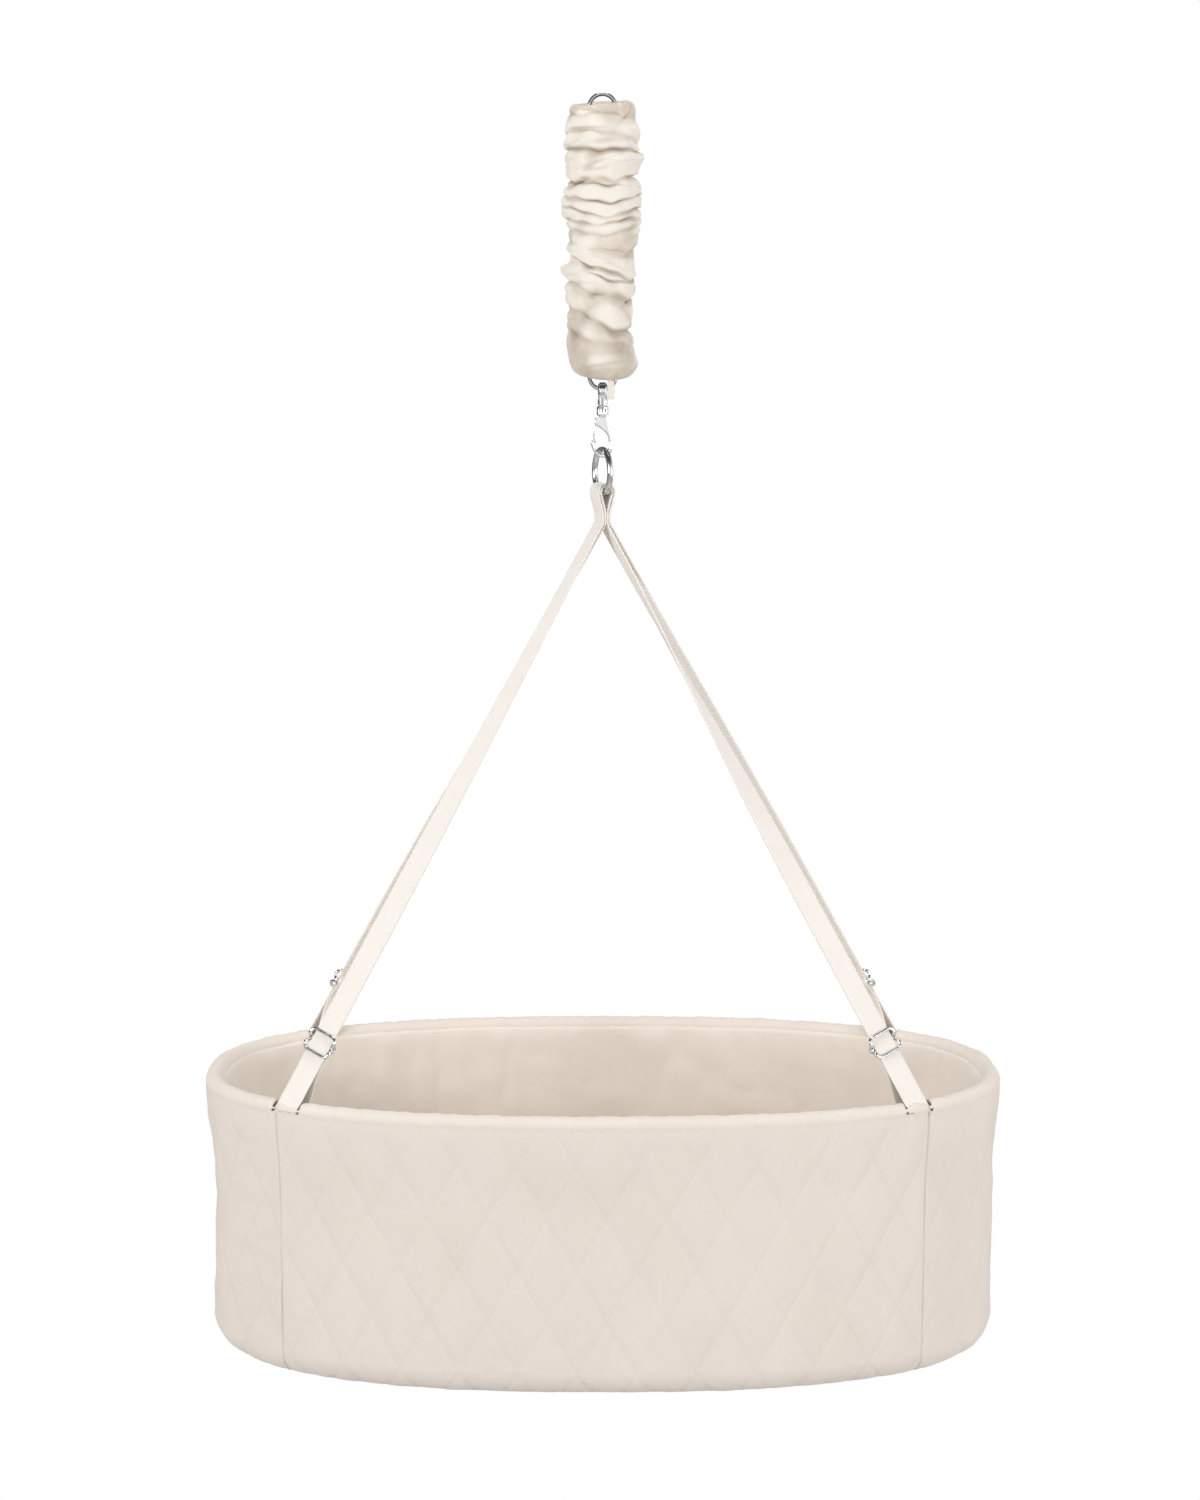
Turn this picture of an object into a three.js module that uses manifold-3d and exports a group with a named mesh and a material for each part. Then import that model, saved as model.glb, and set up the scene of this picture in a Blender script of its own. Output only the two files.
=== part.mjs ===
// A hanging baby cradle: a spring in a ruched sleeve, a swivel snap hook, a steel ring,
// two cotton webbing straps with metal sliders, and a quilted oval basket.
// Millimetres, +Z up, X along the basket. The origin is the point of the spring's
// top loop that bears on the ceiling hook.
import * as THREE from "three";
import { mergeVertices } from "three/addons/utils/BufferGeometryUtils.js";
import Module from "manifold-3d";

const wasm = await Module();
wasm.setup();

// Spring
const spring_wire_d = 4;
const loop_inner_r = 11;
const coil_outer_d = 34;
const coil_pitch = 7;
const coil_length = 217;
const loop_neck = 6;
const loop_open_deg = 48;

// Sleeve over the spring
const sleeve_outer_r = 32.5;
const sleeve_top_drop = 2;
const sleeve_past_coil = 51;
const sleeve_hem_r = 5;
const sleeve_foot_h = 14;
const sleeve_foot_in = 12.5;
const tab_width = 6.5;
const tab_length = 18;
const tab_thick = 1.6;
const tab_side = 8;
const tab_front = 19;
const hem_slant = 8;

// Swivel eye of the snap hook
const eye_hole_r = 5;
const eye_bar = 4.4;
const eye_width = 9;
const eye_edge_r = 1.9;
const neck_d = 9.6;
const neck_below_eye = 3.9;
const shank_d = 4;
const shank_head_d = 6.6;
const shank_head_h = 3;

// Body, gate and rivet of the snap hook
const barrel_d = 11.4;
const barrel_h = 9.4;
const barrel_cap = 2.6;
const window_w = 7.8;
const window_h = 5.6;
const hook_reach = 10.2;
const hook_drop = 41.2;
const hook_thick = 7;
const hook_edge_r = 1.1;
const hook_bar = 4.2;
const barrel_taper = 2.4;
const gate_width = 3.8;
const gate_bar = 2.6;
const gate_knuckle_r = 2.2;
const gate_knuckle_w = 1.7;
const gate_edge = 0.5;
const gate_slot_w = 4.4;
const rivet_d = 2.4;
const rivet_head_d = 4;
const rivet_head_h = 0.7;
const gate_spring_wire_d = 0.6;
const gate_spring_pitch = 1.2;

// Strap ring
const ring_wire_d = 6;
const ring_outer_d = 50;
const ring_turn_deg = 20;
const ring_play = 1.3;

// Webbing straps
const webbing_width = 25;
const webbing_thick = 1.8;
const crown_turn_deg = 20;
const crown_half_gap = 5;
const crown_play = 1.4;
const crown_taper = 19;
const crown_ease = 0.7;
const crown_neck = 28.4;
const leg_stagger = 1.2;
const leg_bend_run = 3;
const strap_straight = 185;
const return_close = 46;
const wrap_clear = 0.8;
const wrap_inset = 0.4;

// Sliders on the straps
const slider_wire_d = 3.2;
const slider_length = 24;
const slider_side_gap = 1.2;
const slider_corner_r = 5;
const slider_to_rim = 71;

// Basket
const basket_length = 800;
const basket_width = 400;
const basket_height = 280;
const plan_power = 2.4;
const hoop_d = 12;
const hoop_below_split = 559;
const rim_roll_r = 9.6;
const waist_depth = 4.6;
const waist_share = 0.35;
const skin_thick = 3;
const lining_thick = 1.4;
const pad_heel = 8.2;
const rim_lip_deg = 75;
const bottom_edge_r = 28;
const foot_deg = 72;
const lining_edge_r = 10;
const seam_from_end = 86;
const seam_gap = 0.6;
const strap_from_end = 99;
const slit_spare = 6;
const slit_ease = 0.8;
const board_thick = 5;
const mattress_thick = 30;
const mattress_clear = 6;
const mattress_edge_r = 9;
const mattress_crown = 5;

// Gaps between pieces, and what a cut runs past its piece
const gap = 0.3;
const fine_gap = 0.25;
const cut_over = 5;

// Counts of facets
const wire_sides = 8;
const coil_sides = 5;
const coil_steps = 8;
const loop_steps = 18;
const lead_steps = 5;
const small_sides = 16;
const hook_outline_steps = 46;
const gate_steps = 12;
const gate_spring_turns = 1;
const ring_steps = 32;
const crown_side_steps = 4;
const crown_arch_steps = 10;
const leg_steps = 16;
const wrap_steps = 8;
const slider_sides = 6;
const roll_steps = 7;
const edge_steps = 3;
const foot_steps = 3;
const bottom_steps = 1;
const sleeve_foot_steps = 3;
const long_wall_steps = 15;
const end_wall_steps = 10;
const sleeve_sides = 20;
const sleeve_rings = 31;

const part = new THREE.Group();

function material(color, roughness, metalness) {
  return new THREE.MeshStandardMaterial({ color, roughness, metalness });
}

const looks = {
  springSteel: material(0x6f7072, 0.35, 1),
  ringSteel: material(0x77787a, 0.3, 1),
  chrome: material(0xd9dadc, 0.12, 1),
  sateen: material(0xe9dfcf, 0.7, 0),
  webbing: material(0xefe8de, 0.85, 0),
  quilted: material(0xe7dcd0, 0.9, 0),
  lining: material(0xe2d6c8, 0.9, 0),
  wadding: material(0xf2f0ec, 1, 0),
  wood: material(0xc9a878, 0.7, 0),
  cover: material(0xeee6da, 0.9, 0),
};

function rad(degrees) {
  return (degrees * Math.PI) / 180;
}

function mix(a, b, share) {
  return a + (b - a) * share;
}

function smooth(value) {
  const s = Math.min(1, Math.max(0, value));
  return s * s * (3 - 2 * s);
}

function vec(x, y, z) {
  return new THREE.Vector3(x, y, z);
}

function add(name, geometry, look) {
  const mesh = new THREE.Mesh(geometry, look);
  mesh.name = name;
  part.add(mesh);
  return mesh;
}

// A closed surface from rings of points, each ring with the same number of points.
// When looped, the last ring joins the first; otherwise both ends get a flat cap.
function skinRings(rings, looped = false) {
  const sides = rings[0].length;
  const points = rings.flat().flatMap((p) => [p.x, p.y, p.z]);
  const faces = [];
  const last = looped ? rings.length : rings.length - 1;
  for (let i = 0; i < last; i++) {
    const a = i * sides;
    const b = ((i + 1) % rings.length) * sides;
    for (let j = 0; j < sides; j++) {
      const k = (j + 1) % sides;
      faces.push(a + j, a + k, b + k, a + j, b + k, b + j);
    }
  }
  if (!looped) {
    const end = (rings.length - 1) * sides;
    for (const [p, q, r] of capFaces(rings[0])) faces.push(r, q, p);
    for (const [p, q, r] of capFaces(rings.at(-1))) faces.push(end + p, end + q, end + r);
  }
  const geometry = new THREE.BufferGeometry();
  geometry.setAttribute("position", new THREE.Float32BufferAttribute(points, 3));
  geometry.setIndex(faces);
  return facingOut(geometry);
}

// The triangles of a flat ring, counter-clockwise about the ring's own normal.
function capFaces(ring) {
  const middle = ring.reduce((sum, p) => sum.add(p), vec(0, 0, 0)).divideScalar(ring.length);
  const arms = ring.map((p) => p.clone().sub(middle));
  const normal = vec(0, 0, 0);
  arms.forEach((p, i) => normal.add(p.clone().cross(arms[(i + 1) % arms.length])));
  normal.normalize();
  const x = arms[0].clone().normalize();
  const y = normal.clone().cross(x);
  const outline = arms.map((p) => new THREE.Vector2(p.dot(x), p.dot(y)));
  return THREE.ShapeUtils.triangulateShape(outline, []);
}

function signedVolume(geometry) {
  const p = geometry.getAttribute("position");
  const index = geometry.getIndex().array;
  const at = (i) => vec(0, 0, 0).fromBufferAttribute(p, i);
  let volume = 0;
  for (let i = 0; i < index.length; i += 3) {
    volume += at(index[i]).dot(at(index[i + 1]).cross(at(index[i + 2])));
  }
  return volume;
}

function facingOut(geometry) {
  if (signedVolume(geometry) < 0) {
    const index = geometry.getIndex();
    for (let i = 0; i < index.count; i += 3) {
      const keep = index.getX(i);
      index.setX(i, index.getX(i + 1));
      index.setX(i + 1, keep);
    }
  }
  return geometry;
}

function solid(geometry) {
  const bare = geometry.clone();
  bare.deleteAttribute("normal");
  bare.deleteAttribute("uv");
  const merged = mergeVertices(bare);
  return new wasm.Manifold(
    new wasm.Mesh({
      numProp: 3,
      vertProperties: new Float32Array(merged.getAttribute("position").array),
      triVerts: new Uint32Array(merged.getIndex().array),
    }),
  );
}

function surface(body) {
  const mesh = body.getMesh();
  const geometry = new THREE.BufferGeometry();
  geometry.setAttribute("position", new THREE.Float32BufferAttribute(mesh.vertProperties, 3));
  geometry.setIndex(Array.from(mesh.triVerts));
  return geometry;
}

// What is left of a body after cuts; crumbs that a cut leaves beside it are dropped.
function cut(geometry, tools) {
  const left = tools.reduce((body, tool) => body.subtract(solid(tool)), solid(geometry));
  const bodies = left.decompose().sort((a, b) => b.volume() - a.volume());
  return surface(bodies[0]);
}

function join(geometry, others) {
  return surface(others.reduce((body, other) => body.add(solid(other)), solid(geometry)));
}

function cylinderAt(place, direction, radius, length, sides) {
  const geometry = new THREE.CylinderGeometry(radius, radius, length, sides);
  const turn = new THREE.Quaternion().setFromUnitVectors(vec(0, 1, 0), direction);
  return geometry.applyQuaternion(turn).translate(place.x, place.y, place.z);
}

function boxAt(place, size) {
  return new THREE.BoxGeometry(size.x, size.y, size.z).translate(place.x, place.y, place.z);
}

// A round bar along points, its section carried along without twist. The directions of its
// two ends can be given.
function bar(points, radius, sides, { looped = false, first, last } = {}) {
  const count = points.length;
  const along = points.map((p, i) => {
    const before = points[looped ? (i + count - 1) % count : Math.max(i - 1, 0)];
    const after = points[looped ? (i + 1) % count : Math.min(i + 1, count - 1)];
    return after.clone().sub(before).normalize();
  });
  if (first) along[0] = first;
  if (last) along[count - 1] = last;
  const least = Math.abs(along[0].z) > 0.9 ? vec(1, 0, 0) : vec(0, 0, 1);
  let side = along[0].clone().cross(least).normalize();
  const rings = points.map((p, i) => {
    side = side.clone().addScaledVector(along[i], -side.dot(along[i])).normalize();
    const other = along[i].clone().cross(side);
    return Array.from({ length: sides }, (_, j) => {
      const turn = (2 * Math.PI * j) / sides;
      const out = side.clone().multiplyScalar(radius * Math.cos(turn));
      return out.addScaledVector(other, radius * Math.sin(turn)).add(p);
    });
  });
  return skinRings(rings, looped);
}

// A flat ribbon along points. Each point has the direction that its width follows, and may
// have a cup: how far its edges rise above its middle. The width is measured square to the run.
function ribbon(steps, columns = 2) {
  const rings = steps.map(({ at, across, cup = 0 }, i) => {
    const into = at.clone().sub(steps[Math.max(i - 1, 0)].at);
    const out = steps[Math.min(i + 1, steps.length - 1)].at.clone().sub(at);
    if (i === 0) into.copy(out);
    if (i === steps.length - 1) out.copy(into);
    const along = into.clone().normalize().add(out.clone().normalize()).normalize();
    const bend = along.dot(into.normalize());
    const square = across.clone().addScaledVector(along, -across.dot(along)).length();
    const half = across.clone().multiplyScalar(webbing_width / 2 / square);
    const face = across.clone().cross(along).normalize();
    const thick = face.clone().multiplyScalar(webbing_thick / 2 / bend);
    const row = (sign) =>
      Array.from({ length: columns }, (_, k) => {
        const share = (2 * k) / (columns - 1) - 1;
        const rise = vec(0, 0, cup * share * share);
        return at.clone().addScaledVector(half, share).addScaledVector(thick, sign).add(rise);
      });
    return [...row(1), ...row(-1).reverse()];
  });
  return skinRings(rings);
}

function inXZ(x, z) {
  return vec(x, 0, z);
}

// Places along the hanging axis, from the ceiling hook down

const wire_r = spring_wire_d / 2;
const loop_r = loop_inner_r + wire_r;
const coil_r = coil_outer_d / 2 - wire_r;
const top_loop_z = -loop_inner_r;
const coil_top_z = top_loop_z - loop_r - loop_neck;
const coil_bottom_z = coil_top_z - coil_length;
const low_loop_z = coil_bottom_z - loop_neck - loop_r;
const low_wire_z = low_loop_z - loop_r;
const sleeve_top_z = -sleeve_top_drop;
const sleeve_length = coil_length + sleeve_past_coil;
const sleeve_bottom_z = sleeve_top_z - sleeve_length;

const eye_z = low_wire_z + wire_r + 2 * gap - eye_hole_r;
const neck_bottom_z = eye_z - eye_hole_r - eye_bar - neck_below_eye;
const barrel_top_z = neck_bottom_z - gap;
const barrel_bottom_z = barrel_top_z - barrel_h;
const hook_bottom_z = barrel_bottom_z - hook_drop;
const hook_seat_z = hook_bottom_z + hook_bar;

const ring_wire_r = ring_wire_d / 2;
const ring_r = ring_outer_d / 2 - ring_wire_r;
const ring_z = hook_seat_z + ring_play + ring_wire_r - ring_r;
const ring_low_z = ring_z - ring_r;
const split_z = ring_low_z - crown_neck + ring_wire_r;
const hoop_z = split_z - hoop_below_split;

// Spring: one unbroken helix, whose two ends run on into round loops.

function coilPoints() {
  const turns = Math.floor((coil_length - spring_wire_d) / coil_pitch);
  const steps = turns * coil_steps;
  return Array.from({ length: steps + 1 }, (_, i) => {
    const turn = (2 * Math.PI * i) / coil_steps;
    const z = mix(coil_top_z - wire_r, coil_bottom_z + wire_r, i / steps);
    return vec(coil_r * Math.cos(turn), coil_r * Math.sin(turn), z);
  });
}

// The least gap between one turn's surface and the next, measured on the wire's points.
function leastGap(points) {
  let least = Infinity;
  points.forEach((p, i) => {
    for (const q of points.slice(i + coil_steps / 2)) {
      least = Math.min(least, p.distanceTo(q) - spring_wire_d);
    }
  });
  return least;
}

// A loop about (0, centre_z) that runs into the coil's end; way is 1 where the coil is above it.
function loopGeometry(centre_z, coil_end_z, way) {
  const points = Array.from({ length: loop_steps + 1 }, (_, i) => {
    const turn = way * (Math.PI / 2 - mix(rad(loop_open_deg) - 2 * Math.PI, 0, i / loop_steps));
    return inXZ(loop_r * Math.cos(turn), centre_z + loop_r * Math.sin(turn));
  });
  const lead = new THREE.CubicBezierCurve3(
    points.at(-1),
    inXZ(loop_r / 2, points.at(-1).z),
    vec(coil_r, (way * coil_r) / 2, coil_end_z),
    vec(coil_r, way * gap, coil_end_z),
  );
  const path = [...points, ...lead.getPoints(lead_steps).slice(1)];
  return bar(path, wire_r, wire_sides, { last: vec(0, -way, 0) });
}

const coil = coilPoints();
const coil_ends = { first: vec(0, 1, 0), last: vec(0, 1, 0) };
console.log("least gap of the spring to itself: " + leastGap(coil).toFixed(2) + " mm");
add("spring_top_loop", loopGeometry(top_loop_z, coil_top_z - wire_r, -1), looks.springSteel);
add("spring_coil", bar(coil, wire_r, coil_sides, coil_ends), looks.springSteel);
add("spring_bottom_loop", loopGeometry(low_loop_z, coil_bottom_z + wire_r, 1), looks.springSteel);

// Sleeve: cotton gathered on the spring. Its creases are places down its length, each with a
// depth, a width and a tilt, all as shares of the length or of the sleeve's radius.

const crease_shares = [
  { at: 0.11, deep: 0.13, wide: 0.022, tilt: 0.03, turn: 0.3 },
  { at: 0.185, deep: 0.2, wide: 0.02, tilt: -0.035, turn: 0.9 },
  { at: 0.285, deep: 0.22, wide: 0.022, tilt: 0.04, turn: 0.1 },
  { at: 0.345, deep: 0.12, wide: 0.014, tilt: -0.02, turn: 0.6 },
  { at: 0.4, deep: 0.12, wide: 0.014, tilt: 0.02, turn: 0.2 },
  { at: 0.455, deep: 0.1, wide: 0.014, tilt: -0.02, turn: 0.8 },
  { at: 0.575, deep: 0.22, wide: 0.024, tilt: 0.06, turn: 0.55 },
  { at: 0.7, deep: 0.1, wide: 0.03, tilt: -0.07, turn: 0.05 },
  { at: 0.84, deep: 0.08, wide: 0.03, tilt: 0.03, turn: 0.45 },
];
const pucker_share = 0.02;
const puckers = 7;
const hem_low_turn = Math.atan2(-tab_front, tab_side);

// How far the lower hem stands above its lowest point, and the upper hem below its highest.
function hemRise(turn) {
  return (hem_slant / 2) * (1 - Math.cos(turn - hem_low_turn));
}

function sleeveRadius(down_share, turn) {
  const bulge = crease_shares.reduce((sum, crease) => {
    const place = crease.at + crease.tilt * Math.cos(turn - 2 * Math.PI * crease.turn);
    const off = (down_share - place) / crease.wide;
    return sum - crease.deep * Math.exp(-off * off);
  }, 1);
  const pucker = pucker_share * Math.sin(puckers * turn + 9 * down_share);
  return sleeve_outer_r * (bulge + pucker);
}

function sleeveGeometry() {
  const turns = Array.from({ length: sleeve_sides }, (_, j) => (2 * Math.PI * j) / sleeve_sides);
  const bore_r = coil_outer_d / 2 + gap;
  const ring = (down_share, radius) =>
    turns.map((turn) => {
      const z = mix(sleeve_top_z - hemRise(-turn), sleeve_bottom_z + hemRise(turn), down_share);
      const r = radius(turn);
      return vec(r * Math.cos(turn), r * Math.sin(turn), z);
    });
  const hem_share = sleeve_hem_r / sleeve_length;
  const foot_share = sleeve_foot_h / sleeve_length;
  const outside = Array.from({ length: sleeve_rings }, (_, i) => {
    const share = mix(hem_share, 1 - foot_share, i / (sleeve_rings - 1));
    return ring(share, (turn) => sleeveRadius(share, turn));
  });
  const foot = Array.from({ length: sleeve_foot_steps }, (_, i) => {
    const curve = (Math.PI * (i + 1)) / (2 * sleeve_foot_steps);
    const share = 1 - foot_share * (1 - Math.sin(curve));
    const inward = sleeve_foot_in * (1 - Math.cos(curve));
    return ring(share, (turn) => sleeveRadius(share, turn) - inward);
  });
  const hem = ring(0, (turn) => sleeveRadius(0, turn) - sleeve_hem_r);
  const bore = (share) => ring(share, () => bore_r);
  return skinRings([hem, ...outside, ...foot, bore(1), bore(0)], true);
}

add("spring_sleeve", sleeveGeometry(), looks.sateen);

const tab_top_z = sleeve_bottom_z - gap;
const tab_shape = new THREE.Shape()
  .moveTo(-tab_width / 2, 0)
  .lineTo(-tab_width / 2, tab_width / 2 - tab_length)
  .absarc(0, tab_width / 2 - tab_length, tab_width / 2, Math.PI, 2 * Math.PI)
  .lineTo(tab_width / 2, 0);
const tab = new THREE.ExtrudeGeometry(tab_shape, {
  depth: tab_thick,
  bevelEnabled: false,
  curveSegments: 6,
});
tab.rotateX(Math.PI / 2).translate(0, tab_thick, 0);
add("sleeve_tab", tab, looks.sateen).position.set(tab_side, -tab_front, tab_top_z);

// Snap hook. Its outline and its gate are places across and down, as shares of hook_reach
// and of hook_drop, counted from the middle of the barrel's lower end.

const hook_outline_shares = [
  [-0.52, -0.012], [-0.549, 0.019], [-0.716, 0.095], [-0.824, 0.153],
  [-0.794, 0.192], [-0.618, 0.233], [-0.333, 0.274], [0, 0.333],
  [0.294, 0.4], [0.5, 0.478], [0.588, 0.578], [0.618, 0.687],
  [0.578, 0.769], [0.412, 0.852], [0.098, 0.896], [-0.216, 0.891],
  [-0.51, 0.842], [-0.706, 0.76], [-0.814, 0.672], [-0.853, 0.619],
  [-0.951, 0.587], [-1.098, 0.59], [-1.147, 0.629], [-1.069, 0.721],
  [-0.912, 0.823], [-0.647, 0.915], [-0.255, 0.983], [0.137, 1],
  [0.529, 0.959], [0.843, 0.862], [0.99, 0.75], [0.99, 0.614],
  [0.863, 0.454], [0.686, 0.294], [0.588, 0.153], [0.539, 0.051],
  [0.52, -0.012],
];
const gate_line_shares = [[-0.5, 0.097], [-0.686, 0.216], [-0.77, 0.359], [-0.75, 0.502], [-0.657, 0.636]];

function hookPoint([across_share, down_share]) {
  return new THREE.Vector2(hook_reach * across_share, barrel_bottom_z - hook_drop * down_share);
}

// A plate in the XZ plane from its outline, with rounded edges, about y = 0.
function plate(outline, width, edge) {
  const geometry = new THREE.ExtrudeGeometry(new THREE.Shape(outline), {
    depth: width - 2 * edge,
    bevelThickness: edge,
    bevelSize: edge,
    bevelOffset: -edge,
    bevelSegments: 2,
  });
  return geometry.rotateX(Math.PI / 2).translate(0, width / 2 - edge, 0);
}

function turned(profile, sides) {
  const points = profile.map(([r, z]) => new THREE.Vector2(r, z));
  return new THREE.LatheGeometry(points, sides).rotateX(Math.PI / 2);
}

// A ring about the X axis whose section is a rounded rectangle.
function eyeRing(hole_r, deep, wide, edge, steps) {
  const half = wide / 2;
  const section = [
    [0, edge - half], [edge, -half], [deep - edge, -half], [deep, edge - half],
    [deep, half - edge], [deep - edge, half], [edge, half], [0, half - edge],
  ];
  const rings = Array.from({ length: steps }, (_, i) => {
    const turn = (2 * Math.PI * i) / steps;
    return section.map(([r, x]) =>
      vec(x, (hole_r + r) * Math.cos(turn), (hole_r + r) * Math.sin(turn)),
    );
  });
  return skinRings(rings, true);
}

const head_top_z = barrel_top_z - barrel_cap - gap;
const head_bottom_z = head_top_z - shank_head_h;

function eyeGeometry() {
  const ring = eyeRing(eye_hole_r, eye_bar, eye_width, eye_edge_r, loop_steps).translate(0, 0, eye_z);
  const inside_z = eye_z - eye_hole_r - eye_bar / 2;
  const stem = turned(
    [
      [0, head_bottom_z],
      [shank_head_d / 2, head_bottom_z],
      [shank_head_d / 2, head_top_z],
      [shank_d / 2, head_top_z],
      [shank_d / 2, neck_bottom_z],
      [neck_d / 2 - hook_edge_r, neck_bottom_z],
      [neck_d / 2, neck_bottom_z + hook_edge_r],
      [neck_d / 2, inside_z],
      [0, inside_z],
    ],
    small_sides,
  );
  return join(ring, [stem]);
}

const pivot = hookPoint(gate_line_shares[0]);
const rivet_r = rivet_d / 2;

function hookGeometry() {
  const curve = new THREE.SplineCurve(hook_outline_shares.map(hookPoint));
  const body = plate(curve.getPoints(hook_outline_steps), hook_thick, hook_edge_r);
  const barrel_r = barrel_d / 2;
  const barrel = turned(
    [
      [0, barrel_bottom_z - barrel_taper],
      [hook_thick / 2, barrel_bottom_z - barrel_taper],
      [barrel_r, barrel_bottom_z + hook_edge_r],
      [barrel_r, barrel_top_z - hook_edge_r],
      [barrel_r - hook_edge_r, barrel_top_z],
      [0, barrel_top_z],
    ],
    small_sides,
  );
  const up = vec(0, 0, 1);
  const across = vec(0, 1, 0);
  const bore = cylinderAt(vec(0, 0, barrel_top_z), up, shank_d / 2 + gap, 3 * barrel_cap, small_sides);
  const window_z = barrel_top_z - barrel_cap - window_h / 2;
  const window = boxAt(vec(0, 0, window_z), vec(window_w, barrel_d + cut_over, window_h));
  const slot_top_z = pivot.y + gate_knuckle_r + 2 * gap;
  const slot_side = pivot.x + gate_knuckle_r + 2 * gap;
  const slot = boxAt(
    vec(slot_side - hook_reach, 0, slot_top_z - hook_drop / 6),
    vec(2 * hook_reach, gate_slot_w, hook_drop / 3),
  );
  const hole_at = vec(pivot.x, 0, pivot.y);
  const hole = cylinderAt(hole_at, across, rivet_r + fine_gap, hook_thick + cut_over, small_sides);
  return cut(join(body, [barrel]), [bore, window, slot, hole]);
}

function gateGeometry() {
  const curve = new THREE.SplineCurve(gate_line_shares.map(hookPoint));
  const line = curve.getPoints(gate_steps);
  const half = gate_bar / 2;
  const side = (p, i) => {
    const ahead = line[Math.min(i + 1, gate_steps)];
    const behind = line[Math.max(i - 1, 0)];
    const along = ahead.clone().sub(behind).normalize();
    return new THREE.Vector2(-along.y, along.x).multiplyScalar(half);
  };
  const left = line.map((p, i) => p.clone().add(side(p, i)));
  const right = line.map((p, i) => p.clone().sub(side(p, i)));
  const arm = plate([...left, ...right.reverse()], gate_width, gate_edge);
  const across = vec(0, 1, 0);
  const at = vec(pivot.x, 0, pivot.y);
  const knuckle = cylinderAt(at, across, gate_knuckle_r, gate_width, small_sides);
  const hole = cylinderAt(at, across, rivet_r + fine_gap, gate_width + cut_over, small_sides);
  const room_y = gate_knuckle_w;
  const room = cylinderAt(
    vec(pivot.x, room_y, pivot.y),
    across,
    gate_knuckle_r + gap,
    gate_width,
    small_sides,
  );
  return cut(join(arm, [knuckle]), [hole, room]);
}

function rivetGeometry() {
  const at = vec(pivot.x, 0, pivot.y);
  const across = vec(0, 1, 0);
  const pin = cylinderAt(at, across, rivet_r, hook_thick + 2 * fine_gap + rivet_head_h, small_sides);
  const head_y = hook_thick / 2 + fine_gap + rivet_head_h / 2;
  const heads = [head_y, -head_y].map((y) =>
    cylinderAt(vec(pivot.x, y, pivot.y), across, rivet_head_d / 2, rivet_head_h, small_sides),
  );
  return join(pin, heads);
}

// The gate's spring: a turn round the rivet, and a leg up the body.
function gateSpringGeometry() {
  const wire = gate_spring_wire_d / 2;
  const turn_r = rivet_r + fine_gap + wire;
  const start_y = gate_knuckle_w - gate_width / 2 + fine_gap + wire;
  const steps = gate_spring_turns * coil_steps;
  const turns = Array.from({ length: steps + 1 }, (_, i) => {
    const turn = (2 * Math.PI * i) / coil_steps;
    const y = start_y + (gate_spring_pitch * i) / coil_steps;
    return vec(pivot.x - turn_r * Math.cos(turn), y, pivot.y - turn_r * Math.sin(turn));
  });
  const top = turns.at(-1).clone().add(vec(0, 0, gate_knuckle_r));
  return bar([...turns, top], wire, coil_sides);
}

add("snap_eye", eyeGeometry(), looks.chrome);
add("snap_hook", hookGeometry(), looks.chrome);
add("snap_gate", gateGeometry(), looks.chrome);
add("gate_rivet", rivetGeometry(), looks.chrome);
add("gate_spring", gateSpringGeometry(), looks.springSteel);

// Strap ring: it hangs on the hook, its plane turned from the hook's own.

function circlePoints(radius, steps, place) {
  return Array.from({ length: steps }, (_, i) => {
    const turn = (2 * Math.PI * i) / steps;
    return place(radius * Math.cos(turn), radius * Math.sin(turn));
  });
}

const ring_turn = rad(ring_turn_deg);
const ringPlace = (v, z) => vec(-v * Math.sin(ring_turn), v * Math.cos(ring_turn), ring_z + z);
const ring_points = circlePoints(ring_r, ring_steps, ringPlace);
add("strap_ring", bar(ring_points, ring_wire_r, wire_sides, { looped: true }), looks.ringSteel);

// Webbing straps. Each strap runs over the ring's lower wire as a crown, and has two legs.
// The inner crown's legs go front right and back left, the outer crown's the other two.

const crown_turn = rad(crown_turn_deg);
const crown_across = vec(-Math.sin(crown_turn), Math.cos(crown_turn), 0);
const crown_side = vec(Math.cos(crown_turn), Math.sin(crown_turn), 0);
const half_webbing = webbing_thick / 2;
const layer_step = webbing_thick + gap;
const crown_z = ring_low_z;
const crown_end_z = split_z;

// How far the crown's edges stand above its middle, following the ring's round wire.
const crown_cup = ring_r - Math.sqrt(ring_r ** 2 - (webbing_width / 2) ** 2);

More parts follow.
